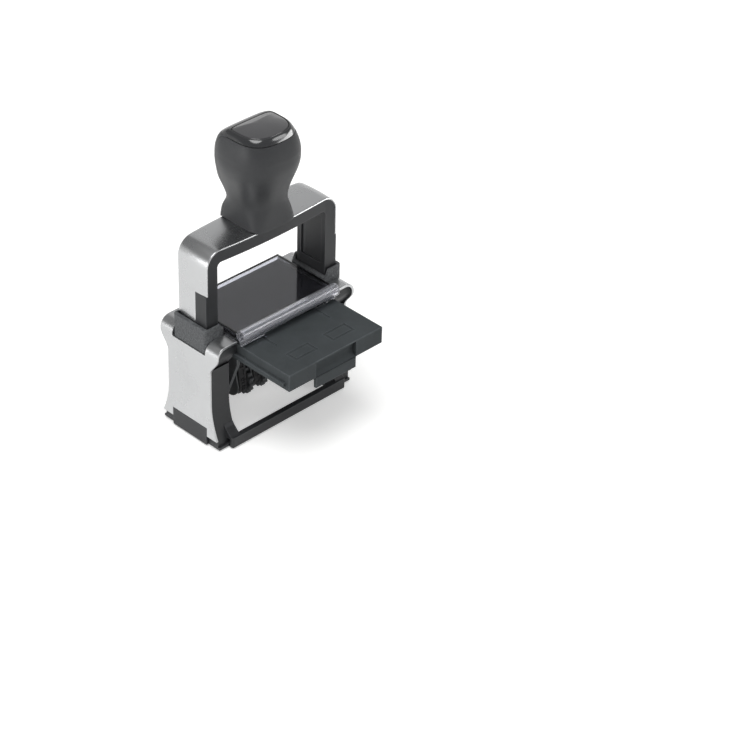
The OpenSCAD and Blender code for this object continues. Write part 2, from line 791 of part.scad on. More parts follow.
// Region of the front shell in Y and Z: under its upper edge and in front of the side seam
module front_region(grow) {
    top = bow_z1 + front_h;
    polygon(concat([[-far, 0], [-far, top + grow]],
        reverse(arc(seam_y - seam_r, top - seam_r, seam_r + grow, 0, 90, 8)), [[seam_y + grow, 0]]));
}

// Room for the cap in the top
module cap_room(grow) {
    size = knob_size(crest_z);
    inset = cap_inset - grow;
    translate([0, 0, bow_z1 + crest_z - cap_t - grow]) linear_extrude(far)
        polygon(knob_plan([size[0] - inset, size[1] - inset, size[2] - inset, size[3], size[4]], 1));
}

// Room for the bow and the screw under the knob
module knob_cut() {
    difference() {
        linear_extrude(bow_z1) bow_plan(-seam);
        box(-far, far, -far, far, -cut, bow_z0);
    }
    pin_z(0, 0, bow_z0, bow_z1 + knob_screw_l + seam, knob_screw_r + pin_gap);
}

// Front shell of the knob, with the neck and the skirt
module knob_front_shell() {
    color("#4a4c4f") difference() {
        intersection() {
            knob_form();
            along_x(-far, far) front_region(0);
        }
        knob_cut();
    }
}

// Back shell of the knob, which runs over the top round the cap
module knob_back_shell() {
    color("#3c3e40") difference() {
        knob_form();
        along_x(-far, far) front_region(seam);
        cap_room(seam);
        knob_cut();
    }
}

// Glossy cap let into the top of the knob
module knob_cap() {
    color("#3a3a3d") intersection() {
        knob_form();
        cap_room(0);
    }
}

// Pin from a leg through the slot to the end plate
module right_pivot_pin() {
    color("#a5a8ab") pin_x(plate_x0 + slide_gap, leg_x1 - strip_t - seam, 0, flip_z, pin_r);
}

module left_pivot_pin() {
    mirror([1, 0, 0]) right_pivot_pin();
}

// Pin on the end plate that runs in the cam groove
module right_flip_pin() {
    color("#a5a8ab") pin_x(plate_x0, waist_x + cam_depth - slide_gap, flip_r, flip_z, pin_r);
}

module left_flip_pin() {
    mirror([1, 0, 0]) right_flip_pin();
}

// Rod inside a return spring
module right_spring_rod() {
    color("#a5a8ab") pin_z(spring_x, spring_y, plate_z, plate_z + rod_l, rod_r);
}

module left_spring_rod() {
    mirror([1, 0, 0]) right_spring_rod();
}

// Points on a spring's centre line and the wire's ring round each
coil_z0 = plate_z + wire_r + seam;
coil_z1 = leg_z + spring_bore - wire_r - seam;
coil_pitch = (coil_z1 - coil_z0) / coil_turns;
function coil_ring(i) = let(a = 45 * i) [for (j = [0:5]) let(b = 60 * j, r = coil_r + wire_r * cos(b))
    [spring_x + r * cos(a), spring_y + r * sin(a), coil_z0 + coil_pitch * i / 8 + wire_r * sin(b)]];
echo(least_gap_between_turns = coil_pitch - 2 * wire_r);

// Return spring in a leg
module right_return_spring() {
    color("#b4b7ba") skin([for (i = [0:8 * coil_turns]) reverse(coil_ring(i))]);
}

module left_return_spring() {
    mirror([1, 0, 0]) right_return_spring();
}

// End plate of the type block: wide under the die, narrow at the wheel axle
module right_block_plate() {
    r = plate_foot_d / 2;
    top_y = die_d / 2 - die_t;
    color("#54575a") difference() {
        along_x(plate_x0, plate_x1) polygon(concat(
            [[top_y, carrier_z0], [-top_y, carrier_z0], [-top_y, flip_z - pin_r]],
            arc(0, axle_z, r, 180, 360, 12),
            [[top_y, flip_z - pin_r]]));
        pin_x(0, far, 0, flip_z, pin_r + pin_gap);
        pin_x(0, far, flip_r, flip_z, pin_r + pin_gap);
        pin_x(0, far, 0, axle_z, axle_r + pin_gap);
    }
}

module left_block_plate() {
    mirror([1, 0, 0]) right_block_plate();
}

// Number of date wheels, and half width of their row
wheel_count = 4;
row_x = wheel_count * wheel_pitch / 2;
nose_z = die_z - band_t - band_gap - nose_r;
band_y = nose_r + band_gap + band_t + band_gap;

// Plate that carries the die, with the opening for the bands
module die_carrier() {
    color("#6a6d70") difference() {
        box(-plate_x1, plate_x1, -die_d / 2, die_d / 2, carrier_z0, carrier_z1);
        box(-row_x - divider_t / 2, row_x + divider_t / 2, -band_y, band_y, 0, far);
    }
}

// Rubber die with a plain raised border
module text_die() {
    field_x = plate_x1 - border_w;
    color("#7a3b32") difference() {
        box(-plate_x1, plate_x1, -die_d / 2, die_d / 2, carrier_z1, die_z);
        box(-row_x - divider_t / 2, row_x + divider_t / 2, -band_y, band_y, 0, far);
        both_ends() box(-field_x, field_x, band_y + border_w, die_d / 2 - border_w, die_z - border_h, far);
    }
}

// Bar between the end plates that the bands run over
module band_nose() {
    foot_z = flip_z - 2 * pin_r;
    color("#2b2d2f") {
        along_x(-row_x, row_x)
            polygon(concat(arc(0, nose_z, nose_r, 0, 180, 12), [[-nose_r, foot_z], [nose_r, foot_z]]));
        box(-plate_x0, plate_x0, -nose_r, nose_r, foot_z, carrier_z0 - seam);
    }
}

// Shaft of the date wheels
module wheel_axle() {
    color("#a5a8ab") pin_x(-plate_x1, plate_x1, 0, axle_z, axle_r);
}

// Dividers between the wheels, hung on the nose and the axle
module wheel_dividers() {
    color("#54575a")
        for (i = [0:wheel_count])
            difference() {
                along_x(i * wheel_pitch - row_x - divider_t / 2, i * wheel_pitch - row_x + divider_t / 2)
                    polygon(concat([[nose_r, flip_z - 2 * pin_r], [-nose_r, flip_z - 2 * pin_r]],
                        arc(0, axle_z, divider_r, 180, 360, 12)));
                pin_x(-far, far, 0, axle_z, axle_r + pin_gap);
            }
}

// Middle of wheel i
function wheel_x(i) = (i + 0.5) * wheel_pitch - row_x;
room = wheel_pitch - divider_t - 2 * band_gap;
drum_w = room - disc_t;

// Belt outline round the nose and the drum, at an offset from both
function belt(offset) =
    let(r1 = nose_r + offset, r2 = drum_r + offset, lean = asin((r2 - r1) / (nose_z - axle_z)))
    concat(arc(0, nose_z, r1, lean, 180 - lean, 10), arc(0, axle_z, r2, 180 - lean, 360 + lean, 16));

// Date band over wheel i
module date_band(i) {
    x0 = wheel_x(i) - room / 2;
    color("#26282a") along_x(x0 + band_gap, x0 + drum_w - band_gap) difference() {
        polygon(belt(band_gap + band_t));
        polygon(belt(band_gap));
    }
}

module day_tens_band() {
    date_band(0);
}

module day_units_band() {
    date_band(1);
}

module month_band() {
    date_band(2);
}

module year_band() {
    date_band(3);
}

// Outline of the toothed thumb disc, in Y and Z
module disc_outline() {
    translate([0, axle_z]) polygon([for (i = [0:4 * tooth_count - 1]) let(
        a = 90 * i / tooth_count,
        r = i % 4 < 2 ? disc_r : disc_r - tooth_h) [r * cos(a), r * sin(a)]]);
}

// Date wheel i: a drum and a thumb disc on the shaft
module date_wheel(i) {
    x0 = wheel_x(i) - room / 2;
    color("#4c4f52") difference() {
        union() {
            pin_x(x0, x0 + drum_w, 0, axle_z, drum_r);
            along_x(x0 + drum_w, x0 + room) disc_outline();
        }
        pin_x(-far, far, 0, axle_z, axle_r + pin_gap);
    }
}

module day_tens_wheel() {
    date_wheel(0);
}

module day_units_wheel() {
    date_wheel(1);
}

module month_wheel() {
    date_wheel(2);
}

module year_wheel() {
    date_wheel(3);
}

// Leaf behind the wheels that clicks them into place
module detent_leaf() {
    y = disc_r + slide_gap;
    color("#b4b7ba") box(-plate_x0, plate_x0, y, y + leaf_t, axle_z + axle_r, axle_z + axle_r + disc_r);
}

// Tray that holds the ink pad, open below, with rails and a finger tab
module pad_tray() {
    x = pad_w / 2 + seam;
    y = pad_d / 2 + seam;
    scoop_z = (tray_h - mark_h) / 2;
    color("#464b4e") {
        difference() {
            union() {
                box(-tray_x, tray_x, tray_y0, tray_y1, tray_z0, tray_z1);
                box(-tab_w / 2, tab_w / 2, tray_y0, tray_y0 + tab_t, tray_z0 - tab_drop, tray_z0 + tab_t);
            }
            box(-x, x, pad_y - y, pad_y + y, 0, tray_z0 + pad_t + seam);
            both_sides() translate([0, tray_y0, tray_z1 - mark_h]) {
                translate([mark_x, mark_y]) linear_extrude(tray_h) marked_frame();
                translate([groove_line_x, groove_line_y]) cube([mark_line, groove_line_l, tray_h]);
            }
            pin_x(-tab_w / 2, tab_w / 2, tray_y0 + scoop_in - scoop_r, tray_z0 + scoop_z, scoop_r);
        }
        both_sides()
            box(tray_x - cut, rail_x, tray_y0 + rail_inset, tray_y1 - rail_inset,
                rail_z0, rail_z0 + rail_h);
    }
}

// Plain rectangular frame marked on the tray's top
module marked_frame() {
    difference() {
        square([mark_w, mark_d], center = true);
        square([mark_w - 2 * mark_line, mark_d - 2 * mark_line], center = true);
    }
}

// Felt pad in the tray
module ink_pad() {
    x = pad_w / 2;
    y = pad_d / 2;
    color("#1f2a55") box(-x, x, pad_y - y, pad_y + y, tray_z0, tray_z0 + pad_t);
}

base_frame();
base_pad();
base_screws();
left_side_frame();
right_side_frame();
left_side_shell();
right_side_shell();
left_leg_guide();
right_leg_guide();
top_deck();
index_card();
index_window();
left_spring_rod();
right_spring_rod();
left_return_spring();
right_return_spring();
bow_strip();
bow_yoke();
strip_studs();
knob_screw();
knob_front_shell();
knob_back_shell();
knob_cap();
left_pivot_pin();
right_pivot_pin();
left_block_plate();
right_block_plate();
left_flip_pin();
right_flip_pin();
die_carrier();
text_die();
band_nose();
wheel_axle();
wheel_dividers();
detent_leaf();
day_tens_band();
day_units_band();
month_band();
year_band();
day_tens_wheel();
day_units_wheel();
month_wheel();
year_wheel();
pad_tray();
ink_pad();
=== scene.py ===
import math

import bmesh
import bpy
import numpy as np
from bpy.props import FloatProperty, FloatVectorProperty, IntProperty, PointerProperty
from mathutils import Matrix, Vector


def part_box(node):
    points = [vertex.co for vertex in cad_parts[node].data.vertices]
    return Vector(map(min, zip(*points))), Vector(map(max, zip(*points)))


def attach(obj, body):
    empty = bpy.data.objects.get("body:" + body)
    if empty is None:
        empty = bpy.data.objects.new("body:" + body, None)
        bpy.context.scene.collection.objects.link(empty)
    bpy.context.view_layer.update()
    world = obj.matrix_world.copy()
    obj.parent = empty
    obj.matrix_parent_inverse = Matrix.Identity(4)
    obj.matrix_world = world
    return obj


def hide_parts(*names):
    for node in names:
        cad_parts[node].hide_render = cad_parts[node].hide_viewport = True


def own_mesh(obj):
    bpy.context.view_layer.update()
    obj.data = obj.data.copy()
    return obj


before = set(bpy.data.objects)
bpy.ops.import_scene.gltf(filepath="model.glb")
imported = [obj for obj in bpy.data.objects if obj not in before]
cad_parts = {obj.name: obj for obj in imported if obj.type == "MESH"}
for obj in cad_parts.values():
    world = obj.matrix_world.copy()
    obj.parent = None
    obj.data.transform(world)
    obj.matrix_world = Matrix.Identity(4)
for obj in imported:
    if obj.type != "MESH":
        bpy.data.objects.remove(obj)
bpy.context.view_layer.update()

bl_info = {
    "name": "Self-inking date stamp",
    "version": (1, 0, 0),
    "blender": (4, 5, 0),
    "location": "View3D > Sidebar > Stamp",
    "description": "Dresses the packed solids of a self-inking date stamp and sets its studio",
    "category": "Object",
}

MM = 0.001
PICTURE = 736  # width of the picture in pixels


def linear(code):
    """Linear RGBA of an sRGB hex colour: each channel goes through the inverse sRGB curve."""
    srgb = np.array([int(code[i:i + 2], 16) for i in (1, 3, 5)]) / 255
    low, high = srgb / 12.92, ((srgb + 0.055) / 1.055) ** 2.4
    return tuple(float(c) for c in np.where(srgb <= 0.04045, low, high)) + (1.0,)


def amount(name, description, default, **settings):
    """A plain number property."""
    return FloatProperty(name=name, description=description, default=default, **settings)


def length(name, description, millimetres):
    """A length property with its default given in millimetres."""
    return amount(name, description, millimetres * MM, unit="LENGTH", precision=5)


def degrees(name, description, angle):
    """An angle property with its default given in degrees."""
    return amount(name, description, math.radians(angle), subtype="ANGLE")


def watts(name, description, power):
    """The power of a lamp."""
    return amount(name, description, power, min=0, unit="POWER")


def tint(name, description, code):
    """A colour property with its default given as an sRGB hex value."""
    return FloatVectorProperty(name=name, description=description, default=linear(code), size=4,
                               min=0, max=1, subtype="COLOR")


# Sizes and colours that a user would change

class KnobSizes(bpy.types.PropertyGroup):
    """Shape of the moulded knob; heights are over the bow."""
    height: length("Height", "Height of the knob",
                   (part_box("knob_cap")[1].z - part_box("bow_strip")[1].z) / MM)
    belly_width: length("Belly width", "Greatest width of the knob", 34)
    belly_front: length("Belly front", "Greatest depth of the knob to the front", 17.2)
    belly_back: length("Belly back", "Greatest depth of the knob to the back", 20.5)
    lean: length("Lean", "Fall of the knob's back towards the top", 3.8)
    neck_width: length("Neck width", "Width of the neck", 24)
    neck_front: length("Neck front", "Depth of the neck to the front", 11.7)
    neck_back: length("Neck back", "Depth of the neck to the back", 13.4)
    neck_height: length("Neck height", "Height of the neck", 10.6)
    heel_back: length("Heel back", "Depth of the heel to the back", 14.3)
    heel_height: length("Heel height", "Height where the heel starts to draw in", 3.5)
    nape_height: length("Nape height", "Height of the narrowest part of the back", 8)
    back_height: length("Back height", "Height where the back is full", 20)
    belly_height: length("Belly height", "Height where the knob is full", 32.5)
    dome_height: length("Dome height", "Height where the knob starts to close", 35)
    crest_width: length("Top width", "Width of the top inside its rounded edge", 25.2)
    crest_front: length("Top front", "Depth of the top to the front", 12.6)
    crest_back: length("Top back", "Depth of the top to the back", 6)
    skirt_square: amount("Skirt squareness", "Superellipse power at the skirt", 6)
    belly_square: amount("Belly squareness", "Superellipse power at the belly", 2.8)
    brow_square: amount("Brow squareness", "Superellipse power at the top's front", 2.7)
    crest_square: amount("Top squareness", "Superellipse power at the top's back", 6.5)
    dome_square: amount("Dome squareness", "Superellipse power of the closing curve", 1.5)
    skirt_drop: length("Skirt drop", "Drop of the skirt over the bow's edges", 0.8)
    skirt_flare: length("Skirt flare", "Flare of the skirt", 0.8)
    cap_rise: length("Cap rise", "Rise of the cap over its edge", 1.0)
    cap_inset: length("Cap set-back", "Set-back of the cap inside the top's edge", 0.5)
    cap_edge: length("Cap edge", "Rounding of the cap's edge", 0.35)
    front_height: length("Front height", "Height of the front shell's upper edge", 43.6)
    seam_back: length("Seam place", "Distance from the middle back to the side seam", 10.6)
    seam_corner: length("Seam corner", "Corner radius of the seam between the shells", 6)
    seam_gap: length("Seam gap", "Width of the seam between the shells", 0.25)
    wall: length("Wall", "Wall thickness of the front shell", 1.6)


class BowSizes(bpy.types.PropertyGroup):
    """Shape of the sheet strip over the bow."""
    thickness: length("Thickness", "Thickness of the sheet", 1.2)
    corner: length("Corner", "Outer corner radius of the bow", 8.5)
    leg_depth: length("Leg depth", "Depth of the bow's legs", 19.4)
    bulge: length("Bulge", "Swelling of the bow's edges at the middle", 1.5)
    notch_height: length("Notch height", "Height of the cut-away at the lower front corners", 79)
    notch_place: length("Notch place", "Distance from the middle to the cut-away", 2.1)
    edge: length("Edge", "Rounding of the sheet's edges", 0.5)
    crown: length("Crown", "Fall of the sheet from its middle line to its edges", 0.4)


class SideSizes(bpy.types.PropertyGroup):
    """Shape of the sheet shells over the side frames."""
    thickness: length("Thickness", "Thickness of the sheet", 1.3)
    bend: length("Bend", "Radius of the bend over the shoulder", 5.5)
    waist_depth: length("Waist depth", "Depth of the waist", 28.4)
    shoulder_depth: length("Shoulder depth", "Depth of the shoulders", 38.4)
    foot_depth: length("Foot depth", "Depth of the side at the foot", 37)
    waist_low: length("Waist start", "Height where the waist starts", 24)
    waist_high: length("Waist end", "Height where the waist ends", 41)
    swell: length("Swell", "Height where the shoulder is widest", 50.5)
    edge: length("Edge", "Rounding of the sheet's edges", 0.4)


class GuideSizes(bpy.types.PropertyGroup):
    """Shape of the collars that guide the legs."""
    corner: length("Corner", "Outer corner radius in plan", 1.8)
    edge: length("Edge", "Rounding of the upper edge", 0.405)
    wall: length("Wall", "Front and back wall", 0.9)
    wall_in: length("Inner wall", "Wall towards the middle", 2.3)
    wall_out: length("Outer wall", "Wall towards the shell", 1.8)


class SpringSizes(bpy.types.PropertyGroup):
    """Shape of the return springs in the legs."""
    radius: length("Radius", "Mean radius of the coil", 1.5)
    wire: length("Wire", "Radius of the wire", 0.25)
    turns: IntProperty(name="Turns", description="Number of turns", default=24)


class BandSizes(bpy.types.PropertyGroup):
    """Shape of the rubber date bands."""
    nose: length("Nose", "Outer radius of a band over the nose", 3.3)
    thickness: length("Thickness", "Thickness of a band with its numbers", 1)
    relief: length("Relief", "Height of the raised numbers", 0.4)
    stroke: length("Stroke", "Half width of a number's strokes", 0.2)
    tall: length("Number height", "Height of a number between its strokes' middles", 2.3)
    cells: IntProperty(name="Numbers", description="Numbers round a band", default=18)


class Finishes(bpy.types.PropertyGroup):
    """Colours of the materials."""
    steel: tint("Satin steel", "Sheet of the bow and the side shells", "#bfc0c1")
    zinc: tint("Zinc", "Pins, screws, rods and springs", "#b4b8bc")
    black: tint("Black plastic", "Side frames, yoke, deck, base and knob back", "#2f3032")
    grain: tint("Grained plastic", "Collars round the legs", "#56585a")
    knob: tint("Knob plastic", "Front shell of the knob", "#353638")
    back: tint("Knob ring", "Ring round the knob's cap", "#2e2f31")
    gloss: tint("Glossy plastic", "Cap of the knob", "#2e2e31")
    clear: tint("Clear plastic", "Index window", "#e3e4ea")
    card: tint("Card", "Card under the window", "#26262b")
    tray: tint("Tray plastic", "Ink tray", "#45494b")
    block: tint("Block plastic", "Type block and date wheels", "#4a4c4e")
    rubber: tint("Rubber", "Ring under the base and date bands", "#222224")
    die: tint("Die rubber", "Text die", "#8a3f33")
    felt: tint("Inked felt", "Ink pad", "#16204a")


class StageSizes(bpy.types.PropertyGroup):
    """Camera, floor and light of the studio."""
    azimuth: degrees("Azimuth", "Camera angle round the stamp", -45.789)
    elevation: degrees("Elevation", "Camera angle over the floor", 34.829)
    roll: degrees("Roll", "Turn of the camera round its line of sight", 1.73)
    distance: length("Distance", "Distance of the camera", 1143.1)
    aim_height: length("Aim height", "Height of the point that the camera is turned round", 60)
    aside: length("Aside", "Camera moved to the right", 50.139)
    down: length("Down", "Camera moved down", 34.835)
    focal: amount("Focal length", "Focal length in widths of the picture", 2500 / PICTURE)
    floor: tint("Floor", "Colour of the floor", "#f8f8f7")
    whiten: amount("Whiten", "Plain white added to the floor that is seen", 0.38)
    ambient: amount("Ambient", "Strength of the even light", 0.28, min=0)
    key: watts("Key light", "Power of the lamp over the left", 20)
    rim: watts("Rim light", "Power of the low lamp at the left", 6)
    side: watts("Side light", "Power of the lamp at the front right", 3.6)
    back: watts("Back light", "Power of the lamp behind the right", 1.1)
    card: watts("Card", "Power of the low card at the right, which shows in gloss alone", 11)


# Small tools

# From these angles edges are shaded sharp, CAD edges and a sheet's rims are rounded, and faces stay apart
SHARP, BEVEL, RIM, FLAT = (math.radians(angle) for angle in (35, 38, 50, 0.6))
# Points nearer than this are one, in a CAD node and in a new piece
WELD, DOUBLES = 2e-6, 1e-6
FACE_WEIGHT = 60  # how much a large face turns its neighbours' normals


def ease(t):
    """Smooth step from 0 to 1, flat at both ends: 3 t squared less 2 t cubed."""
    t = np.clip(t, 0, 1)
    return t * t * (3 - 2 * t)


def mix(a, b, t):
    """Straight mix of a and b."""
    return a + (b - a) * t


def join(*coordinates):
    """Points from arrays of coordinates, which are spread to one shape."""
    return np.stack(np.broadcast_arrays(*coordinates), axis=-1)


def closed(grid):
    """Grid with its first column added behind its last."""
    return np.concatenate([grid, grid[:, :1]], axis=1)


def quads(grid, keep=None):
    """Corner numbers of the cells of a grid of points; keep masks the cells."""
    rows, columns = grid.shape[:2]
    i = np.arange(rows * columns).reshape(rows, columns)
    cells = np.stack([i[:-1, :-1], i[:-1, 1:], i[1:, 1:], i[1:, :-1]], axis=-1)
    return cells[keep] if keep is not None else cells.reshape(-1, 4)


def capped(grid):
    """Faces of a closed grid, with one more over its first row and one over its last."""
    rows, columns = grid.shape[:2]
    i = np.arange(rows * columns).reshape(rows, columns)[:, :-1]
    return quads(grid).tolist() + [i[0].tolist(), i[-1, ::-1].tolist()]


def make_mesh(name, points, faces):
    """Mesh from points and faces, with doubles merged, loose points dropped and normals turned outwards."""
    mesh = bpy.data.meshes.new(name)
    mesh.from_pydata(np.asarray(points, float).reshape(-1, 3), [], faces)
    work = bmesh.new()
    work.from_mesh(mesh)
    bmesh.ops.remove_doubles(work, verts=work.verts, dist=DOUBLES)
    bmesh.ops.delete(work, geom=[v for v in work.verts if not v.link_faces], context="VERTS")
    bmesh.ops.recalc_face_normals(work, faces=work.faces)
    work.to_mesh(mesh)
    work.free()
    mesh.polygons.foreach_set("use_smooth", np.ones(len(mesh.polygons), bool))
    return mesh


def new_object(name, data):
    """Object in the scene with the given data."""
    made = bpy.data.objects.new(name, data)
    bpy.context.scene.collection.objects.link(made)
    return made


def add_piece(name, points, body, material, replaced, faces=None):
    """New piece that rides on a body and replaces a CAD node; without faces, its points are a grid."""
    made = new_object(name, make_mesh(name, points, quads(points) if faces is None else faces))
    made.data.materials.append(finish(material))
    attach(made, body)
    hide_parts(replaced)
    return made


def add(tree, kind, inputs=None, links=None, **settings):
    """Add one node: settings are its own fields, inputs its socket values, links the sockets that feed it.

    In a shader tree the kind leaves out ShaderNode."""
    made = tree.nodes.new("ShaderNode" + kind if tree.type == "SHADER" else kind)
    for name, value in settings.items():
        setattr(made, name, value)
    for name, value in (inputs or {}).items():
        made.inputs[name].default_value = value
    for name, source in (links or {}).items():
        tree.links.new(source, made.inputs[name])
    return made


def empty_tree(owner):
    """Node tree of a material or a world, emptied."""
    owner.use_nodes = True
    owner.node_tree.nodes.clear()
    return owner.node_tree


def smooth_by_angle():
    """Geometry nodes that shade faces smooth and keep edges over the sharp angle."""
    found = bpy.data.node_groups.get("smooth_by_angle")
    if found:
        return found
    tree = bpy.data.node_groups.new("smooth_by_angle", "GeometryNodeTree")
    for way in ("INPUT", "OUTPUT"):
        tree.interface.new_socket("Geometry", in_out=way, socket_type="NodeSocketGeometry")
    start = add(tree, "NodeGroupInput")
    faces = add(tree, "GeometryNodeSetShadeSmooth", links={"Geometry": start.outputs[0]}, domain="FACE")
    angle = add(tree, "GeometryNodeInputMeshEdgeAngle")
    sharp = add(tree, "FunctionNodeCompare", {1: SHARP}, {0: angle.outputs[0]}, data_type="FLOAT",
                operation="GREATER_THAN")
    edges = add(tree, "GeometryNodeSetShadeSmooth", {"Shade Smooth": False},
                {"Geometry": faces.outputs[0], "Selection": sharp.outputs[0]}, domain="EDGE")
    add(tree, "NodeGroupOutput", links={0: edges.outputs[0]})
    return tree


def modify(made, name, kind, **values):
    """Add a modifier and set its fields."""
    modifier = made.modifiers.new(name, kind)
    for field, value in values.items():
        setattr(modifier, field, value)


def shade_by_angle(made):
    """Shade a piece smooth with sharp edges, by a modifier."""
    modify(made, "shade", "NODES", node_group=smooth_by_angle())


def dress(names, material, edge, segments=2):
    """Give CAD nodes a material and edges rounded by edge in millimetres, shaded by angle and face area.

    A CAD node is loose triangles, so its doubles are welded and its flat faces joined first."""
    for name in names:
        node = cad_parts[name]
        node.data.materials.clear()
        node.data.materials.append(finish(material))
        modify(node, "weld", "WELD", merge_threshold=WELD)
        modify(node, "flat", "DECIMATE", decimate_type="DISSOLVE", angle_limit=FLAT)
        modify(node, "edges", "BEVEL", width=edge * MM, segments=segments, limit_method="ANGLE",
               angle_limit=BEVEL, miter_outer="MITER_ARC")
        shade_by_angle(node)
        modify(node, "even", "WEIGHTED_NORMAL", mode="FACE_AREA", keep_sharp=True, weight=FACE_WEIGHT)


def give_wall(made, thickness, edge):
    """Thicken an open sheet inwards and round its rim."""
    modify(made, "wall", "SOLIDIFY", thickness=thickness, offset=-1, use_even_offset=True)
    modify(made, "rim", "BEVEL", width=edge, segments=3, limit_method="ANGLE", angle_limit=RIM,
           harden_normals=True)


# Materials

# Ranges of a noise's values, and of ambient occlusion on outer edges, which are rubbed and lightened by a
# painted highlight, and in inner corners, which are darkened by painted shade
NOISE, WORN_AND_LIT, SHADED_CORNERS = (0.3, 0.7), (0.95, 0.6), (0.45, 0.85)
WEAR_AND_HIGHLIGHT_REACH, CORNER_SHADE_REACH = 0.7 * MM, 0.9 * MM
# The window's frosted roll: its depth, the width of the fade behind it, and its least share of clear
ROLL_DEPTH, FROST_FADE, FROST_CLEAR = 6.3 * MM, 0.3 * MM, 0.7
# Its streaks: their width in millimetres, and how many times longer they are
STREAK, STREAK_STRETCH = 1.2, 20

# Looks of the materials; grain, its depth and the mottle's patches are in millimetres, coarse enough to show
FINISHES = {
    # Nickel-plated sheet, bead-blasted: soft broad highlights without lines
    "blasted_nickel_steel": dict(
        tint="steel", rough=0.28, grain=0.3, depth=0.002, mottle=0.03, patch=20, vary=0.04, Metallic=1.0),
    # Drawn wire and turned pins, zinc-plated: bright and a little streaked
    "zinc_plated_steel": dict(
        tint="zinc", rough=0.26, grain=0.4, depth=0.006, mottle=0.08, patch=4, vary=0.08, Metallic=1.0),
    # ABS from a finely spark-eroded mould: satin black, edges rubbed and lightened by a painted highlight,
    # inner corners darkened by painted shade
    "spark_finished_abs": dict(
        tint="black", rough=0.46, grain=0.35, depth=0.012, mottle=0.1, wear=2.0, grime=0.3, specular=0.35),
    # ABS with a coarse leather-like mould texture: matte dark grey
    "leather_grained_abs": dict(
        tint="grain", rough=0.6, grain=0.8, depth=0.4, mottle=0.45, patch=0.9, cells=True, specular=0.4),
    # ABS with a soft-touch finish: broad sheen over dark grey
    "soft_touch_abs": dict(tint="knob", rough=0.46, grain=0.25, depth=0.008, mottle=0.05, specular=0.36),
    # ABS from a polished mould: dark, with clear highlights
    "polished_abs": dict(
        tint="back", rough=0.14, grain=0.3, depth=0.002, mottle=0.05, vary=0.03, specular=0.85),
    # Lacquered moulding: near black, with an even reflection
    "lacquered_abs": dict(
        tint="gloss", rough=0.2, grain=0.8, depth=0.002, mottle=0.03, patch=20, vary=0.03,
        **{"Coat Weight": 1.0, "Coat Roughness": 0.08}),
    # Extruded acrylic: clear and smooth
    "clear_acrylic": dict(
        tint="clear", rough=0.05, grain=2.5, depth=0.004, mottle=0.01, patch=20, vary=0.02,
        **{"Transmission Weight": 1.0, "IOR": 1.49}),
    # Coated card: fibres under a dull print
    "coated_card": dict(tint="card", rough=0.55, grain=0.5, depth=0.01, patch=5),
    # Moulded polypropylene: waxy slate grey, edges rubbed and lightened by a painted highlight, inner corners
    # darkened by painted shade
    "moulded_polypropylene": dict(
        tint="tray", rough=0.5, grain=0.4, depth=0.015, mottle=0.1, patch=10, wear=1.2, grime=0.6,
        specular=0.06),
    # Moulded nylon: dull grey, stained by ink, edges rubbed and lightened by a painted highlight
    "inked_nylon": dict(
        tint="block", rough=0.5, grain=0.3, depth=0.012, mottle=0.25, patch=5, wear=1.0, specular=0.3),
    # Vulcanised rubber: matte with a dusty grain
    "vulcanised_rubber": dict(tint="rubber", rough=0.75, grain=0.4, depth=0.03, mottle=0.15, patch=4),
    # Laser-cut rubber sheet: matte red-brown
    "cut_rubber": dict(tint="die", rough=0.7, grain=0.35, depth=0.03, mottle=0.12, patch=4),
    # Pressed wool felt soaked in ink: fibrous and dull
    "inked_wool_felt": dict(
        tint="felt", rough=0.85, grain=0.5, depth=0.15, mottle=0.35, patch=2.5, **{"Sheen Weight": 0.3}),
}


def remap(tree, value, start, end, to_start, to_end):
    """Socket with a value carried from start and end over to to_start and to_end, and held beyond them."""
    ends = {"From Min": start, "From Max": end, "To Min": to_start, "To Max": to_end}
    return add(tree, "MapRange", ends, {"Value": value}).outputs["Result"]


def combine(tree, operation, first, second):
    """Socket with the result of a Math node on two sockets."""
    return add(tree, "Math", links={0: first, 1: second}, operation=operation).outputs[0]


def noise(tree, place, millimetres, **values):
    """Socket with a noise of features about that many millimetres wide."""
    values["Scale"] = 1 / (millimetres * MM)
    return add(tree, "TexNoise", values, {"Vector": place}).outputs["Fac"]


def occlusion(tree, reach, span, low, high, **settings):
    """Socket with the piece's own ambient occlusion over a reach, carried from a span to low and high."""
    made = add(tree, "AmbientOcclusion", {"Distance": reach}, only_local=True, samples=6, **settings)
    return remap(tree, made.outputs["AO"], *span, low, high)


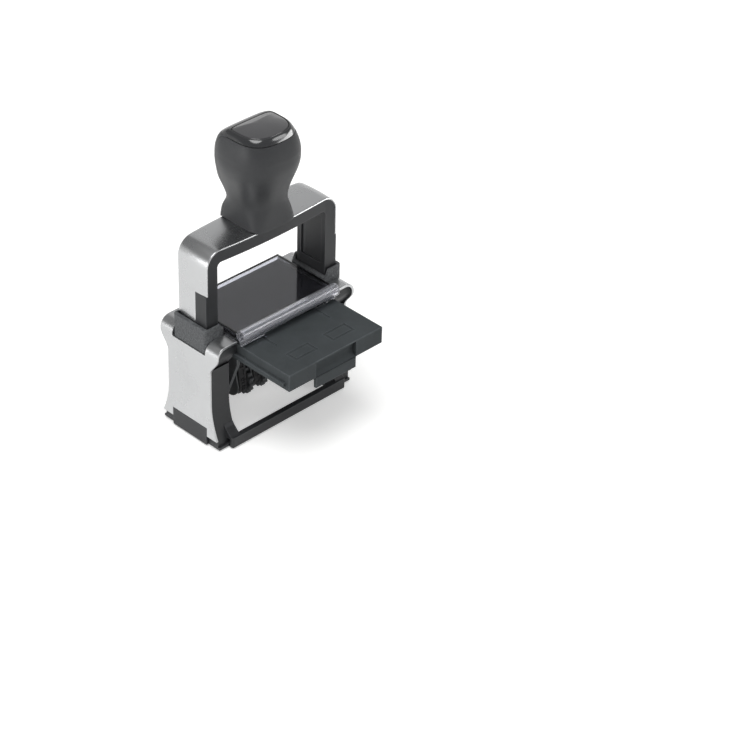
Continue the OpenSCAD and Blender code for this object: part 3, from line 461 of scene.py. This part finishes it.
def surface(name, colour, rough, grain, depth, mottle=0.06, patch=14, vary=0.05, wear=0.0, grime=0.0,
            cells=False, specular=0.5, **sockets):
    """Principled material with a fine grain, a slow colour mottle, a slow change of roughness, rubbed edges
    lightened by a painted highlight and painted shade in inner corners.

    grain is the grain's size and depth its height, patch the mottle's size, vary the change of roughness.
    wear is how much lighter outer edges are, as rubbed edges together with a painted highlight, found by
    looking a short way into the piece and broken up by the mottle. grime is how much darker inner corners
    are, as painted shade. sockets are further socket values."""
    made = bpy.data.materials.new(name)
    tree = empty_tree(made)
    place = add(tree, "TexCoord").outputs["Object"]
    slow = noise(tree, place, patch, Detail=4.0, Roughness=0.6)
    shade = remap(tree, slow, *NOISE, 1 - mottle, 1 + mottle)
    # Outer edges lighter: rubbed edges together with a painted highlight, found by ambient occlusion looked
    # for inside the piece
    if wear:
        edge = occlusion(tree, WEAR_AND_HIGHLIGHT_REACH, WORN_AND_LIT, 0.0, wear, inside=True)
        shade = combine(tree, "ADD", shade, combine(tree, "MULTIPLY", edge, slow))
    # Inner corners darker: painted shade, found by the piece's own ambient occlusion
    if grime:
        shade = combine(tree, "MULTIPLY", shade, occlusion(tree, CORNER_SHADE_REACH, SHADED_CORNERS, 1 - grime, 1.0))
    tone = add(tree, "VectorMath", {0: colour[:3]}, {1: shade}, operation="MULTIPLY")
    polish = remap(tree, slow, *NOISE, rough - vary, rough + vary)
    if cells:
        height = add(tree, "TexVoronoi", {"Scale": 1 / (grain * MM)}, {"Vector": place},
                     feature="SMOOTH_F1").outputs["Distance"]
    else:
        height = noise(tree, place, grain, Detail=3.0)
    bump = add(tree, "Bump", {"Strength": 1.0, "Distance": depth * MM}, {"Height": height})
    shader = add(tree, "BsdfPrincipled", {"Specular IOR Level": specular, **sockets},
                 {"Base Color": tone.outputs[0], "Roughness": polish, "Normal": bump.outputs[0]})
    add(tree, "OutputMaterial", links={"Surface": shader.outputs["BSDF"]})
    return made


def frost_roll(made, roll_y):
    """Frost a clear material in front of roll_y: streaks along the roll take away from its share of clear."""
    tree = made.node_tree
    shader = next(n for n in tree.nodes if n.type == "BSDF_PRINCIPLED")
    place = add(tree, "TexCoord").outputs["Object"]
    depth = add(tree, "SeparateXYZ", links={0: place}).outputs["Y"]
    streak = add(tree, "Mapping", {"Scale": (1 / STREAK_STRETCH, 1, 1)}, {"Vector": place})
    lines = noise(tree, streak.outputs[0], STREAK, Detail=2.0)
    frost = remap(tree, depth, roll_y, roll_y - FROST_FADE, 0.0, 1.0)
    cloud = combine(tree, "MULTIPLY", lines, frost)
    clear = remap(tree, cloud, 0.0, 1.0, 1.0, FROST_CLEAR)
    tree.links.new(clear, shader.inputs["Transmission Weight"])


def finish(name):
    """Material by name, made when it is first asked for."""
    made = bpy.data.materials.get(name)
    if made:
        return made
    values = dict(FINISHES[name])
    colour = getattr(bpy.context.scene.stamp_finishes, values.pop("tint"))
    return surface(name, colour, **values)


def floor_paper(g):
    """Pale paper with plain white added where the camera, metal and glass see it, so that it stays light."""
    made = bpy.data.materials.new("floor_paper")
    tree = empty_tree(made)
    path = add(tree, "LightPath").outputs
    seen = combine(tree, "MAXIMUM", path["Is Camera Ray"], path["Is Glossy Ray"])
    seen = combine(tree, "MAXIMUM", seen, path["Is Transmission Ray"])
    part = add(tree, "Math", {1: g.whiten}, {0: seen}, operation="MULTIPLY")
    paper = add(tree, "BsdfDiffuse", {"Color": g.floor})
    white = add(tree, "Emission", {"Color": (1, 1, 1, 1)}, {"Strength": part.outputs[0]})
    both = add(tree, "AddShader", links={0: paper.outputs[0], 1: white.outputs[0]})
    add(tree, "OutputMaterial", links={"Surface": both.outputs[0]})
    return made


# Pieces

def knob_section(k, z):
    """Half width, front and back depth, and front and back squareness of the knob at heights z over the bow.

    The neck swells into the belly by smooth steps, the back has a heel under its nape, and the belly closes
    towards the top along a superellipse."""
    crest = k.height - k.cap_rise
    low = np.clip(z / k.neck_height, 0, 1)
    flare = k.skirt_flare * (1 - low) ** 2
    swell = ease((z - k.neck_height) / (k.belly_height - k.neck_height))
    heel = (k.heel_back - k.neck_back) * (1 - ease((z - k.heel_height) / (k.nape_height - k.heel_height)))
    back_swell = ease((z - k.nape_height) / (k.back_height - k.nape_height))
    lean = k.lean * np.clip((z - k.neck_height) / (crest - k.neck_height), 0, 1)
    t = np.clip((z - k.dome_height) / (crest - k.dome_height), 0, 1)
    close = 1 - (1 - t ** k.dome_square) ** (1 / k.dome_square)
    half = mix(mix(k.neck_width, k.belly_width, swell), k.crest_width, close) / 2 + flare
    front = mix(mix(k.neck_front, k.belly_front, swell), k.crest_front, close) + flare
    back = mix(mix(k.neck_back, k.belly_back, back_swell) + heel - lean, k.crest_back, close)
    square = mix(k.skirt_square, k.belly_square, ease(low))
    front_square, back_square = (mix(square, top, t * t) for top in (k.brow_square, k.crest_square))
    return np.stack([half, front, back, front_square, back_square])


def ring(section, angle):
    """Points of a superellipse at polar angles: the radius is the power mean that meets the given depths."""
    half, front, back, front_square, back_square = section
    c, d = np.cos(angle), np.sin(angle)
    depth = np.where(d < 0, front, back)
    square = np.where(d < 0, front_square, back_square)
    radius = (np.abs(c / half) ** square + np.abs(d / depth) ** square) ** (-1 / square)
    return radius * c, radius * d


def seam_angle(section, y):
    """Polar angle at which a knob section reaches the depth y on its right side."""
    half, front, back, front_square, back_square = section
    depth = np.where(y < 0, front, back)
    square = np.where(y < 0, front_square, back_square)
    x = half * np.clip(1 - np.abs(y / depth) ** square, 0, 1) ** (1 / square)
    return np.arctan2(y, x)


def knob_heights(k, high, count):
    """Heights from the hem to high, closer together where the knob closes."""
    crest = k.height - k.cap_rise
    t = np.linspace(0, 1, count)
    straight = mix(-k.skirt_drop, high, t)
    top = np.clip((high - k.dome_height) / (crest - k.dome_height), 0, 1)
    curve = mix(k.dome_height, crest, np.sin(np.arcsin(top) * t))
    return np.concatenate([straight[straight < k.dome_height], curve])


class STAMP_OT_knob(bpy.types.Operator):
    """Build the knob's front shell, back shell and cap"""
    bl_idname = "stamp.knob"
    bl_label = "Knob"

    def execute(self, context):
        k = context.scene.stamp_knob
        bow_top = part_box("bow_strip")[1].z
        bow = context.scene.stamp_bow
        bow_half = bow.leg_depth / 2 + bow.bulge
        crest = k.height - k.cap_rise
        rows, front_columns, back_columns, brow_columns = 70, 150, 90, 80
        hem_run, front_rim, back_rim, back_share = 0.5 * MM, 0.35 * MM, 0.2 * MM, 0.4

        def shell(gap, way, columns):
            """Heights, seam angles and grid of a shell from seam to seam, round back (way 1) or front (-1).

            The seam is straight, then goes round a corner to the upper edge; the hem drops past the bow."""
            z = knob_heights(k, k.front_height + gap, rows)
            up = np.clip(z - (k.front_height - k.seam_corner), 0, k.seam_corner)
            seam = k.seam_back - k.seam_corner + gap + np.sqrt(np.clip(k.seam_corner ** 2 - up ** 2, 0, None))
            section = knob_section(k, z)
            start = seam_angle(section, seam)
            u = np.linspace(0, 1, columns)[None, :]
            x, y = ring(section[..., None], mix(start[:, None], way * math.pi - start[:, None], u))
            hem = np.clip((np.abs(y) - bow_half) / hem_run, 0, 1)
            drop = np.minimum(z, 0)[:, None] * (hem - 1)
            return z, start, join(x, y, bow_top + z[:, None] + drop)

        front = shell(0.0, -1, front_columns)[2]
        made = add_piece("knob_front", front, "bow", "soft_touch_abs", "knob_front_shell")
        give_wall(made, k.wall, front_rim)

        heights, start, back = shell(k.seam_gap, 1, back_columns)
        last = start[-1]
        edge = np.concatenate([np.linspace(last, math.pi - last, back_columns),
                               np.linspace(math.pi - last, math.tau + last, brow_columns)[1:]])
        rise = np.arcsin(np.clip((heights[-1] - k.dome_height) / (crest - k.dome_height), 0, 1))
        top = mix(k.dome_height, crest, np.sin(np.linspace(rise, math.pi / 2, 10)))
        x, y = ring(knob_section(k, top)[..., None], edge[None, :])
        over = join(x, y, bow_top + top[:, None])
        inner = np.linspace(1, 1 - (k.cap_inset - k.seam_gap) / k.crest_front, 4)[1:, None]
        lip = join(x[-1] * inner, y[-1] * inner, bow_top + crest + k.cap_rise * (1 - inner ** 2))
        over = np.concatenate([over, lip])
        faces = np.concatenate([quads(back), quads(over) + back[..., 0].size])
        points = np.concatenate([back.reshape(-1, 3), over.reshape(-1, 3)])
        made = add_piece("knob_back", points, "bow", "polished_abs", "knob_back_shell", faces)
        give_wall(made, k.wall * back_share, back_rim)
        # The ring over the front shell's edge is glossy, the wall under it is satin
        made.data.materials.append(finish("spark_finished_abs"))
        centres = np.zeros(len(made.data.polygons) * 3)
        made.data.polygons.foreach_get("center", centres)
        under = centres[2::3] < bow_top + heights[-1]
        made.data.polygons.foreach_set("material_index", under.astype(np.int32))

        section = knob_section(k, np.array([crest]))
        section[:3] -= k.cap_inset
        x, y = ring(section, np.linspace(0, math.tau, 181)[None, :])
        round_share = k.cap_edge / k.crest_front
        t = np.linspace(0, 1, 24)[:, None]
        turn = np.linspace(0, math.pi / 2, 7)[1:, None]
        share = np.concatenate([t * (1 - round_share), 1 - round_share * (1 - np.sin(turn)), [[1.0]]])
        fall = np.concatenate([t * 0, k.cap_edge * (1 - np.cos(turn)), [[k.cap_edge * 2]]])
        z = bow_top + crest + k.cap_rise * (1 - share ** 2) - fall
        cap = join(x * share, y * share, z)
        add_piece("knob_cap_plate", cap, "bow", "lacquered_abs", "knob_cap")
        return {"FINISHED"}


class STAMP_OT_bow(bpy.types.Operator):
    """Build the sheet strip over the bow and dress the yoke, studs and pins"""
    bl_idname = "stamp.bow"
    bl_label = "Bow"

    def execute(self, context):
        b = context.scene.stamp_bow
        low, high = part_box("bow_strip")
        side, top, foot = high.x, high.z, low.z
        yoke_thickness, notch_step, edge_points = 5.8 * MM, 0.03 * MM, 9
        leg = np.concatenate([np.linspace(foot, b.notch_height - notch_step, 6), [b.notch_height],
                              np.linspace(b.notch_height, top - b.corner, 6)[1:]])
        over = np.linspace(1, -1, 49)[1:-1]
        turn = np.concatenate([leg * 0, np.linspace(0, math.pi / 2, 19)[1:]])
        middle_z = np.concatenate([leg, np.full(18, top - b.corner)])
        one = join(side - b.corner + b.corner * np.cos(turn), middle_z + b.corner * np.sin(turn),
                   np.cos(turn), np.sin(turn))
        middle = join(over * (side - b.corner), top, 0, 1)
        other = one[::-1] * [-1, 1, -1, 1]
        path = np.concatenate([one, middle, other])
        x, z, nx, nz = path.T[:, :, None]
        inside = side - b.thickness - yoke_thickness
        back = b.leg_depth / 2 + b.bulge * np.clip(1 - (x / inside) ** 2, 0, 1)
        front = np.where(z < b.notch_height, -b.notch_place, -back)
        across = np.linspace(-1, 1, 17)
        bend = np.linspace(math.pi / 2, -math.pi / 2, edge_points)
        ones, out, deep = np.ones(edge_points), b.edge * np.cos(bend), (1 - np.sin(bend)) / 2
        share = np.concatenate([across, ones, [0.0], -ones])[None, :]
        out = np.concatenate([across * 0, out, [0.0], out[::-1]])[None, :]
        thick = np.concatenate([across * 0, deep, [1.0], deep[::-1]])[None, :]
        half = (back - front) / 2 - b.edge
        y = (back + front) / 2 + share * half + np.sign(share) * out
        drop = -b.thickness * thick - b.crown * (y / back) ** 2 * (1 - thick)
        grid = closed(join(x + nx * drop, y, z + nz * drop))
        made = add_piece("bow_sheet", grid, "bow", "blasted_nickel_steel", "bow_strip",
                         capped(grid))
        shade_by_angle(made)
        dress(["bow_yoke"], "spark_finished_abs", edge=0.3)
        dress(["strip_studs", "knob_screw", "left_pivot_pin", "right_pivot_pin"], "zinc_plated_steel",
              edge=0.15)
        return {"FINISHED"}


def side_depth(s, z, foot):
    """Half depth of the hourglass side at heights z: square-law foot, straight waist, eased shoulder."""
    low = mix(s.waist_depth, s.foot_depth, np.clip((s.waist_low - z) / (s.waist_low - foot), 0, 1) ** 2)
    high = mix(s.waist_depth, s.shoulder_depth, ease((z - s.waist_high) / (s.swell - s.waist_high)))
    return np.where(z < s.waist_low, low, high) / 2


class STAMP_OT_sides(bpy.types.Operator):
    """Build the bent sheet shells and dress the side frames"""
    bl_idname = "stamp.sides"
    bl_label = "Sides"

    def execute(self, context):
        s = context.scene.stamp_sides
        # The mesh goes over from the width of the base's tab to the collar's at the height of change
        collar_gap, tab_top, tab_half, change = 0.1 * MM, 10.1 * MM, 11.6 * MM, 30 * MM
        for hand, name in ((1, "right"), (-1, "left")):
            low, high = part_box(f"{name}_side_shell")
            inner, outer = sorted((abs(low.x), abs(high.x)))
            guide_low, guide_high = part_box(f"{name}_leg_guide")
            notch, sill = guide_high.y + collar_gap, guide_low.z - collar_gap
            upright = np.concatenate([np.linspace(low.z, tab_top, 5), np.linspace(tab_top, sill, 56)[1:],
                                      np.linspace(sill, high.z - s.bend, 3)[1:]])
            turn = np.linspace(0, math.pi / 2, 13)[1:]
            x = np.concatenate([np.full_like(upright, outer), outer - s.bend + s.bend * np.cos(turn),
                                np.linspace(outer - s.bend, inner, 6)[1:]])
            z = np.concatenate([upright, high.z - s.bend + s.bend * np.sin(turn), np.full(5, high.z)])
            depth = side_depth(s, z, low.z)[:, None]
            cut = np.where(z < change, tab_half, notch)[:, None]
            middle = cut * np.linspace(-1, 1, 9)[None, 1:-1]
            flank = mix(cut, depth, np.linspace(0, 1, 4)[None, :])
            y = np.concatenate([-flank[:, ::-1], middle, flank], axis=1)
            grid = join(hand * x[:, None], y, z[:, None])
            keep = np.ones((grid.shape[0] - 1, grid.shape[1] - 1), bool)
            mid_z = (z[:-1] + z[1:]) / 2
            gone = (mid_z > sill) | (mid_z < tab_top) | (z[1:] >= high.z)
            keep[gone, 3:-3] = False
            made = add_piece(f"{name}_shell", grid, "frame", "blasted_nickel_steel",
                             f"{name}_side_shell", quads(grid, keep))
            normals = np.zeros(len(made.data.polygons) * 3)
            made.data.polygons.foreach_get("normal", normals)
            if hand * normals[::3].sum() < 0:
                made.data.flip_normals()
            give_wall(made, s.thickness, s.edge)
        dress(["left_side_frame", "right_side_frame"], "spark_finished_abs", edge=0.3)
        return {"FINISHED"}


def rounded_outline(low_x, high_x, half_y, radius, steps=6, straight=8):
    """Points round a rectangle: a quarter circle, turned for each corner, and even straights between."""
    right, left, back = high_x - radius, low_x + radius, (half_y - radius) * 1j
    corners = np.array([[right + back], [left + back], [left - back], [right - back]])
    arc = radius * np.exp(1j * np.linspace(0, math.pi / 2, steps + 1))
    arcs = corners + arc * np.array([[1], [1j], [-1], [-1j]])
    sides = mix(arcs[:, -1:], np.roll(arcs[:, :1], -1, axis=0), np.linspace(0, 1, straight + 1)[1:-1])
    line = np.concatenate([arcs, sides], axis=1).ravel()
    return join(line.real, line.imag)


class STAMP_OT_guides(bpy.types.Operator):
    """Build the grained collars round the legs"""
    bl_idname = "stamp.guides"
    bl_label = "Leg guides"

    def execute(self, context):
        g = context.scene.stamp_guides
        hole_corner, step_width, lid_drop = 0.3 * MM, 0.4 * MM, 2 * MM
        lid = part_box("index_window")[1].z - lid_drop
        for hand, name in ((1, "right"), (-1, "left")):
            low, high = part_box(f"{name}_leg_guide")
            near, far = sorted((abs(low.x), abs(high.x)))
            outer = rounded_outline(near, far, high.y, g.corner)
            hole = rounded_outline(near + g.wall_in, far - g.wall_out, high.y - g.wall, hole_corner)
            inward = np.clip((near + g.wall_in - outer[:, 0]) / step_width - 0.5, 0, 1)
            top = mix(high.z, lid, inward)
            turn = np.linspace(0, math.pi / 2, 6)
            into = hole - outer
            unit = into / np.linalg.norm(into, axis=1, keepdims=True)

            def row(points, inset, fall):
                """Points moved towards the hole, at the collar's top less a fall."""
                return join(*(points + unit * inset).T, top - fall)

            rows = [join(*outer.T, low.z)]
            rows += [row(outer, g.edge * (1 - math.cos(a)), g.edge * (1 - math.sin(a))) for a in turn]
            rows += [row(hole, -g.edge / 2 * math.cos(a), g.edge / 2 * (1 - math.sin(a))) for a in turn[::-1]]
            rows += [join(*hole.T, low.z), rows[0]]
            grid = closed(np.stack(rows)) * [hand, 1, 1]
            made = add_piece(f"{name}_collar", grid, "frame", "leather_grained_abs",
                             f"{name}_leg_guide")
            shade_by_angle(made)
        return {"FINISHED"}


class STAMP_OT_window(bpy.types.Operator):
    """Dress the deck, the card and the clear window with its roll"""
    bl_idname = "stamp.window"
    bl_label = "Deck and window"

    def execute(self, context):
        dress(["top_deck"], "spark_finished_abs", edge=0.3)
        dress(["index_card"], "coated_card", edge=0.05)
        dress(["index_window"], "clear_acrylic", edge=0.25, segments=3)
        frost_roll(finish("clear_acrylic"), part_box("index_window")[0].y + ROLL_DEPTH)
        return {"FINISHED"}


class STAMP_OT_base(bpy.types.Operator):
    """Dress the base, its screws and the rubber ring under it"""
    bl_idname = "stamp.base"
    bl_label = "Base"

    def execute(self, context):
        dress(["base_frame"], "spark_finished_abs", edge=0.4, segments=3)
        dress(["base_pad"], "vulcanised_rubber", edge=0.2)
        dress(["base_screws", "left_spring_rod", "right_spring_rod"], "zinc_plated_steel", edge=0.15)
        return {"FINISHED"}


# Seven straight strokes of a plain digit in a box two wide and two high, each from a start to an end
STROKES = np.array([[-1, 1, 1, 1], [1, 1, 1, 0], [1, 0, 1, -1], [-1, -1, 1, -1], [-1, -1, -1, 0],
                    [-1, 0, -1, 1], [-1, 0, 1, 0]], float)
# Which of these strokes, by their numbers, make up each digit from 0 to 9
USED = ("012345", "12", "01643", "01623", "5612", "05623", "056432", "012", "0123456", "012356")
DIGITS = np.array([[str(stroke) in used for stroke in range(len(STROKES))] for used in USED])
# First and last number of each date band
DATE_BANDS = (("day_tens", 0, 3), ("day_units", 0, 9), ("month", 1, 12), ("year", 26, 34))


def digit_distance(across, along, digit, half_width, half_height):
    """Distance from points to a digit: the least, over its strokes, of the distance to a straight piece."""
    start = STROKES[:, :2] * [half_width, half_height]
    step = STROKES[:, 2:] * [half_width, half_height] - start
    point = join(across, along)[..., None, :] - start
    share = np.clip((point * step).sum(-1) / (step ** 2).sum(-1), 0, 1)
    gap = np.linalg.norm(point - share[..., None] * step, axis=-1)
    return np.where(DIGITS[digit], gap, 1.0).min(-1)


def belt(nose_z, drum_z, nose, drum, count):
    """Even points, normals and lengths along a belt: arcs over nose and under drum, joined by tangents."""
    lean = math.asin((drum - nose) / (nose_z - drum_z))
    over = np.linspace(lean, math.pi - lean, 60)
    under = np.linspace(math.pi - lean, math.tau + lean, 120)
    angle = np.concatenate([over, under, [math.tau + lean]])
    at_nose = np.repeat([True, False, True], [len(over), len(under), 1])
    radius = np.where(at_nose, nose, drum)
    y, z = radius * np.cos(angle), np.where(at_nose, nose_z, drum_z) + radius * np.sin(angle)
    run = np.concatenate([[0], np.cumsum(np.hypot(np.diff(y), np.diff(z)))])
    even = np.linspace(0, run[-1], count)
    turn = np.interp(even, run, angle)
    return np.interp(even, run, y), np.interp(even, run, z), np.cos(turn), np.sin(turn), even


class STAMP_OT_bands(bpy.types.Operator):
    """Build the rubber date bands with their raised numbers"""
    bl_idname = "stamp.bands"
    bl_label = "Date bands"

    def execute(self, context):
        w = context.scene.stamp_bands
        edge, slope, single_half, double_half, apart = 0.2 * MM, 0.16 * MM, 0.8 * MM, 0.5 * MM, 0.95 * MM
        for wheel, first, last in DATE_BANDS:
            low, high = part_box(f"{wheel}_band")
            drum, half = (high.y - low.y) / 2, (high.x - low.x) / 2
            line = belt(high.z - w.nose, low.z + drum, w.nose - w.relief, drum - w.relief, 541)
            y, z, ny, nz, run = (v[:, None] for v in line)
            place = (run - run[np.argmax(z)]) / run[-1] * w.cells + 0.5
            along = (place % 1 - 0.5) * run[-1] / w.cells
            number = first + np.floor(place).astype(int) % w.cells % (last - first + 1)
            across = np.concatenate([[-half], np.linspace(edge - half, half - edge, 33), [half]])[None, :]
            if last < 10:
                places = ((0.0, single_half, number),)
            else:
                places = ((-apart, double_half, number // 10), (apart, double_half, number % 10))
            gap = np.min([digit_distance(across - middle, along, digit, wide, w.tall / 2)
                          for middle, wide, digit in places], axis=0)
            rise = w.relief * ease((w.stroke - gap) / slope + 0.5)
            rise = rise - edge * (np.abs(across) > half - edge / 2)
            inner = np.full((len(run), 2), w.relief - w.thickness)
            rise = np.concatenate([rise, inner], axis=1)
            across = np.concatenate([across, [[half, -half]]], axis=1) + (low.x + high.x) / 2
            grid = closed(join(across, y + ny * rise, z + nz * rise))
            made = add_piece(f"{wheel}_numbers", grid, "block", "vulcanised_rubber",
                             f"{wheel}_band")
            shade_by_angle(made)
        return {"FINISHED"}


class STAMP_OT_block(bpy.types.Operator):
    """Dress the type block, its wheels and pins"""
    bl_idname = "stamp.block"
    bl_label = "Type block"

    def execute(self, context):
        dress(["left_block_plate", "right_block_plate", "die_carrier"], "inked_nylon", edge=0.25)
        dress(["wheel_dividers"], "inked_nylon", edge=0.1)
        dress(["band_nose"], "spark_finished_abs", edge=0.2)
        dress(["text_die"], "cut_rubber", edge=0.1)
        dress(["wheel_axle", "detent_leaf", "left_flip_pin", "right_flip_pin"], "zinc_plated_steel", edge=0.1)
        dress([f"{wheel}_wheel" for wheel, _, _ in DATE_BANDS], "inked_nylon", edge=0.2)
        return {"FINISHED"}


class STAMP_OT_tray(bpy.types.Operator):
    """Dress the ink tray and build the felt pad in it"""
    bl_idname = "stamp.tray"
    bl_label = "Ink tray"

    def execute(self, context):
        edge, corner, hollow = 0.8 * MM, 1.5 * MM, 0.3 * MM
        dress(["pad_tray"], "moulded_polypropylene", edge=0.4, segments=3)
        low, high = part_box("ink_pad")
        centre, half = (low + high) / 2, (high - low) / 2
        turn = np.linspace(-math.pi / 2, math.pi / 2, 13)
        inset = edge * (1 - np.cos(turn))
        level = np.where(turn < 0, low.z + edge, high.z - edge) + edge * np.sin(turn)
        outlines = [rounded_outline(i - half.x, half.x - i, half.y - i, corner, straight=24) for i in inset]
        sides = np.stack([join(*o.T, z) for o, z in zip(outlines, level)])
        share = np.linspace(1, 0, 16)[:, None, None]
        under = sides[0][None] * [1, 1, 0] * share + [0, 0, low.z] + [0, 0, hollow] * (1 - share ** 4)
        over = sides[-1][None] * [1, 1, 0] * share + [0, 0, high.z]
        grid = closed(np.concatenate([under[::-1], sides[1:-1], over])) + [centre.x, centre.y, 0]
        made = add_piece("felt_pad", grid, "tray", "inked_wool_felt", "ink_pad")
        return {"FINISHED"}


class STAMP_OT_springs(bpy.types.Operator):
    """Build the return springs"""
    bl_idname = "stamp.springs"
    bl_label = "Return springs"

    def execute(self, context):
        w = context.scene.stamp_springs
        foot, per_turn, wire_sides = 2 * MM, 24, 10
        for name in ("left", "right"):
            low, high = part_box(f"{name}_return_spring")
            centre = (low + high) / 2
            a = np.linspace(0, math.tau * w.turns, per_turn * w.turns + 1)[:, None]
            b = np.linspace(0, math.tau, wire_sides + 1)[None, :]
            radius = w.radius + w.wire * np.cos(b)
            climb = (high.z - low.z - 2 * w.wire) * a / a[-1]
            grid = join(centre.x + radius * np.cos(a), centre.y + radius * np.sin(a),
                        low.z + w.wire + climb + w.wire * np.sin(b))
            made = add_piece(f"{name}_spring", grid, "frame", "zinc_plated_steel",
                             f"{name}_return_spring", capped(grid))
            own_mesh(made)
        return {"FINISHED"}


class STAMP_OT_stage(bpy.types.Operator):
    """Build the floor, the lamps, the world and the camera"""
    bl_idname = "stamp.stage"
    bl_label = "Studio"

    def execute(self, context):
        g = context.scene.stamp_stage
        scene = context.scene
        scene.view_settings.view_transform = "Standard"
        # The floor is flat round the stamp and then rises by an eased step into a backdrop, for low views
        reach, flat, backdrop, sink = 4.0, 2.2, 1.5, 0.02 * MM
        u = np.linspace(-reach, reach, 81)
        x, y = np.meshgrid(u, u, indexing="ij")
        points = join(x, y, backdrop * ease((np.hypot(x, y) - flat) / (reach - flat)) - sink)
        floor = new_object("floor", make_mesh("floor", points, quads(points)))
        floor.data.materials.append(floor_paper(g))

        scene.world = bpy.data.worlds.new("studio")
        tree = empty_tree(scene.world)
        soft = add(tree, "Background", {"Strength": g.ambient, "Color": (1, 1, 1, 1)})
        add(tree, "OutputWorld", links={"Surface": soft.outputs[0]})

        aim = Vector((0, 0, g.aim_height))
        # Name, place, width and height, power, and whether the lamp also lights matte surfaces
        lamps = (("key_lamp", (-0.55, -0.25, 1.75), (1.3, 1.3), g.key, True),
                 ("rim_lamp", (-1.62, 0.42, 0.24), (1.2, 0.5), g.rim, True),
                 ("side_lamp", (0.884, -0.854, 0.96), (0.6, 0.6), g.side, True),
                 ("back_lamp", (0.8, 0.8, 0.9), (1.15, 1.15), g.back, True),
                 ("card_lamp", (1.16, -0.67, 0.44), (1.4, 0.45), g.card, False))
        for name, place, size, power, diffuse in lamps:
            lamp = bpy.data.lights.new(name, "AREA")
            lamp.shape, lamp.energy = "ELLIPSE", power
            lamp.size, lamp.size_y = size
            made = new_object(name, lamp)
            made.visible_camera, made.visible_diffuse = False, diffuse
            made.location = place
            made.rotation_euler = (aim - made.location).to_track_quat("-Z", "Y").to_euler()
        # The card lights the knob's ring and the bow's edges alone, because flat plates would mirror it
        lit = bpy.data.collections.new("card_lit")
        for name in ("knob_back", "bow_sheet"):
            lit.objects.link(bpy.data.objects[name])
        bpy.data.objects["card_lamp"].light_linking.receiver_collection = lit

        level = Vector((math.cos(g.azimuth), math.sin(g.azimuth), 0))
        back = Vector((level.y, -level.x, 0)) * math.cos(g.elevation) + Vector((0, 0, math.sin(g.elevation)))
        right = level * math.cos(g.roll) + back.cross(level) * math.sin(g.roll)
        up = back.cross(right)
        lens = bpy.data.cameras.new("camera")
        lens.sensor_fit = "HORIZONTAL"
        lens.lens = lens.sensor_width * g.focal
        lens.clip_start, lens.clip_end = 0.05, 20
        camera = new_object("camera", lens)
        place = aim + back * g.distance + right * g.aside - up * g.down
        turn = Matrix((right, up, back)).transposed().to_4x4()
        camera.matrix_world = Matrix.Translation(place) @ turn
        scene.camera = camera
        return {"FINISHED"}


class STAMP_PT_panel(bpy.types.Panel):
    """Lists the stamp's pieces and its studio"""
    bl_idname = "STAMP_PT_panel"
    bl_label = "Date stamp"
    bl_space_type = "VIEW_3D"
    bl_region_type = "UI"
    bl_category = "Stamp"

    def draw(self, context):
        for kind in OPERATORS:
            self.layout.operator(kind.bl_idname)


# In the order in which they run
OPERATORS = (STAMP_OT_base, STAMP_OT_sides, STAMP_OT_guides, STAMP_OT_window, STAMP_OT_bow,
             STAMP_OT_knob, STAMP_OT_springs, STAMP_OT_block, STAMP_OT_bands, STAMP_OT_tray, STAMP_OT_stage)
GROUPS = {"stamp_knob": KnobSizes, "stamp_bow": BowSizes, "stamp_sides": SideSizes,
          "stamp_guides": GuideSizes, "stamp_springs": SpringSizes, "stamp_bands": BandSizes,
          "stamp_finishes": Finishes, "stamp_stage": StageSizes}


def register():
    for kind in (*GROUPS.values(), *OPERATORS, STAMP_PT_panel):
        bpy.utils.register_class(kind)
    for name, kind in GROUPS.items():
        setattr(bpy.types.Scene, name, PointerProperty(type=kind))


def unregister():
    for name in GROUPS:
        delattr(bpy.types.Scene, name)
    for kind in (STAMP_PT_panel, *reversed(OPERATORS), *reversed(GROUPS.values())):
        bpy.utils.unregister_class(kind)


def main():
    register()
    for kind in OPERATORS:
        getattr(bpy.ops.stamp, kind.bl_idname.split(".")[1])()


if __name__ == "__main__":
    main()
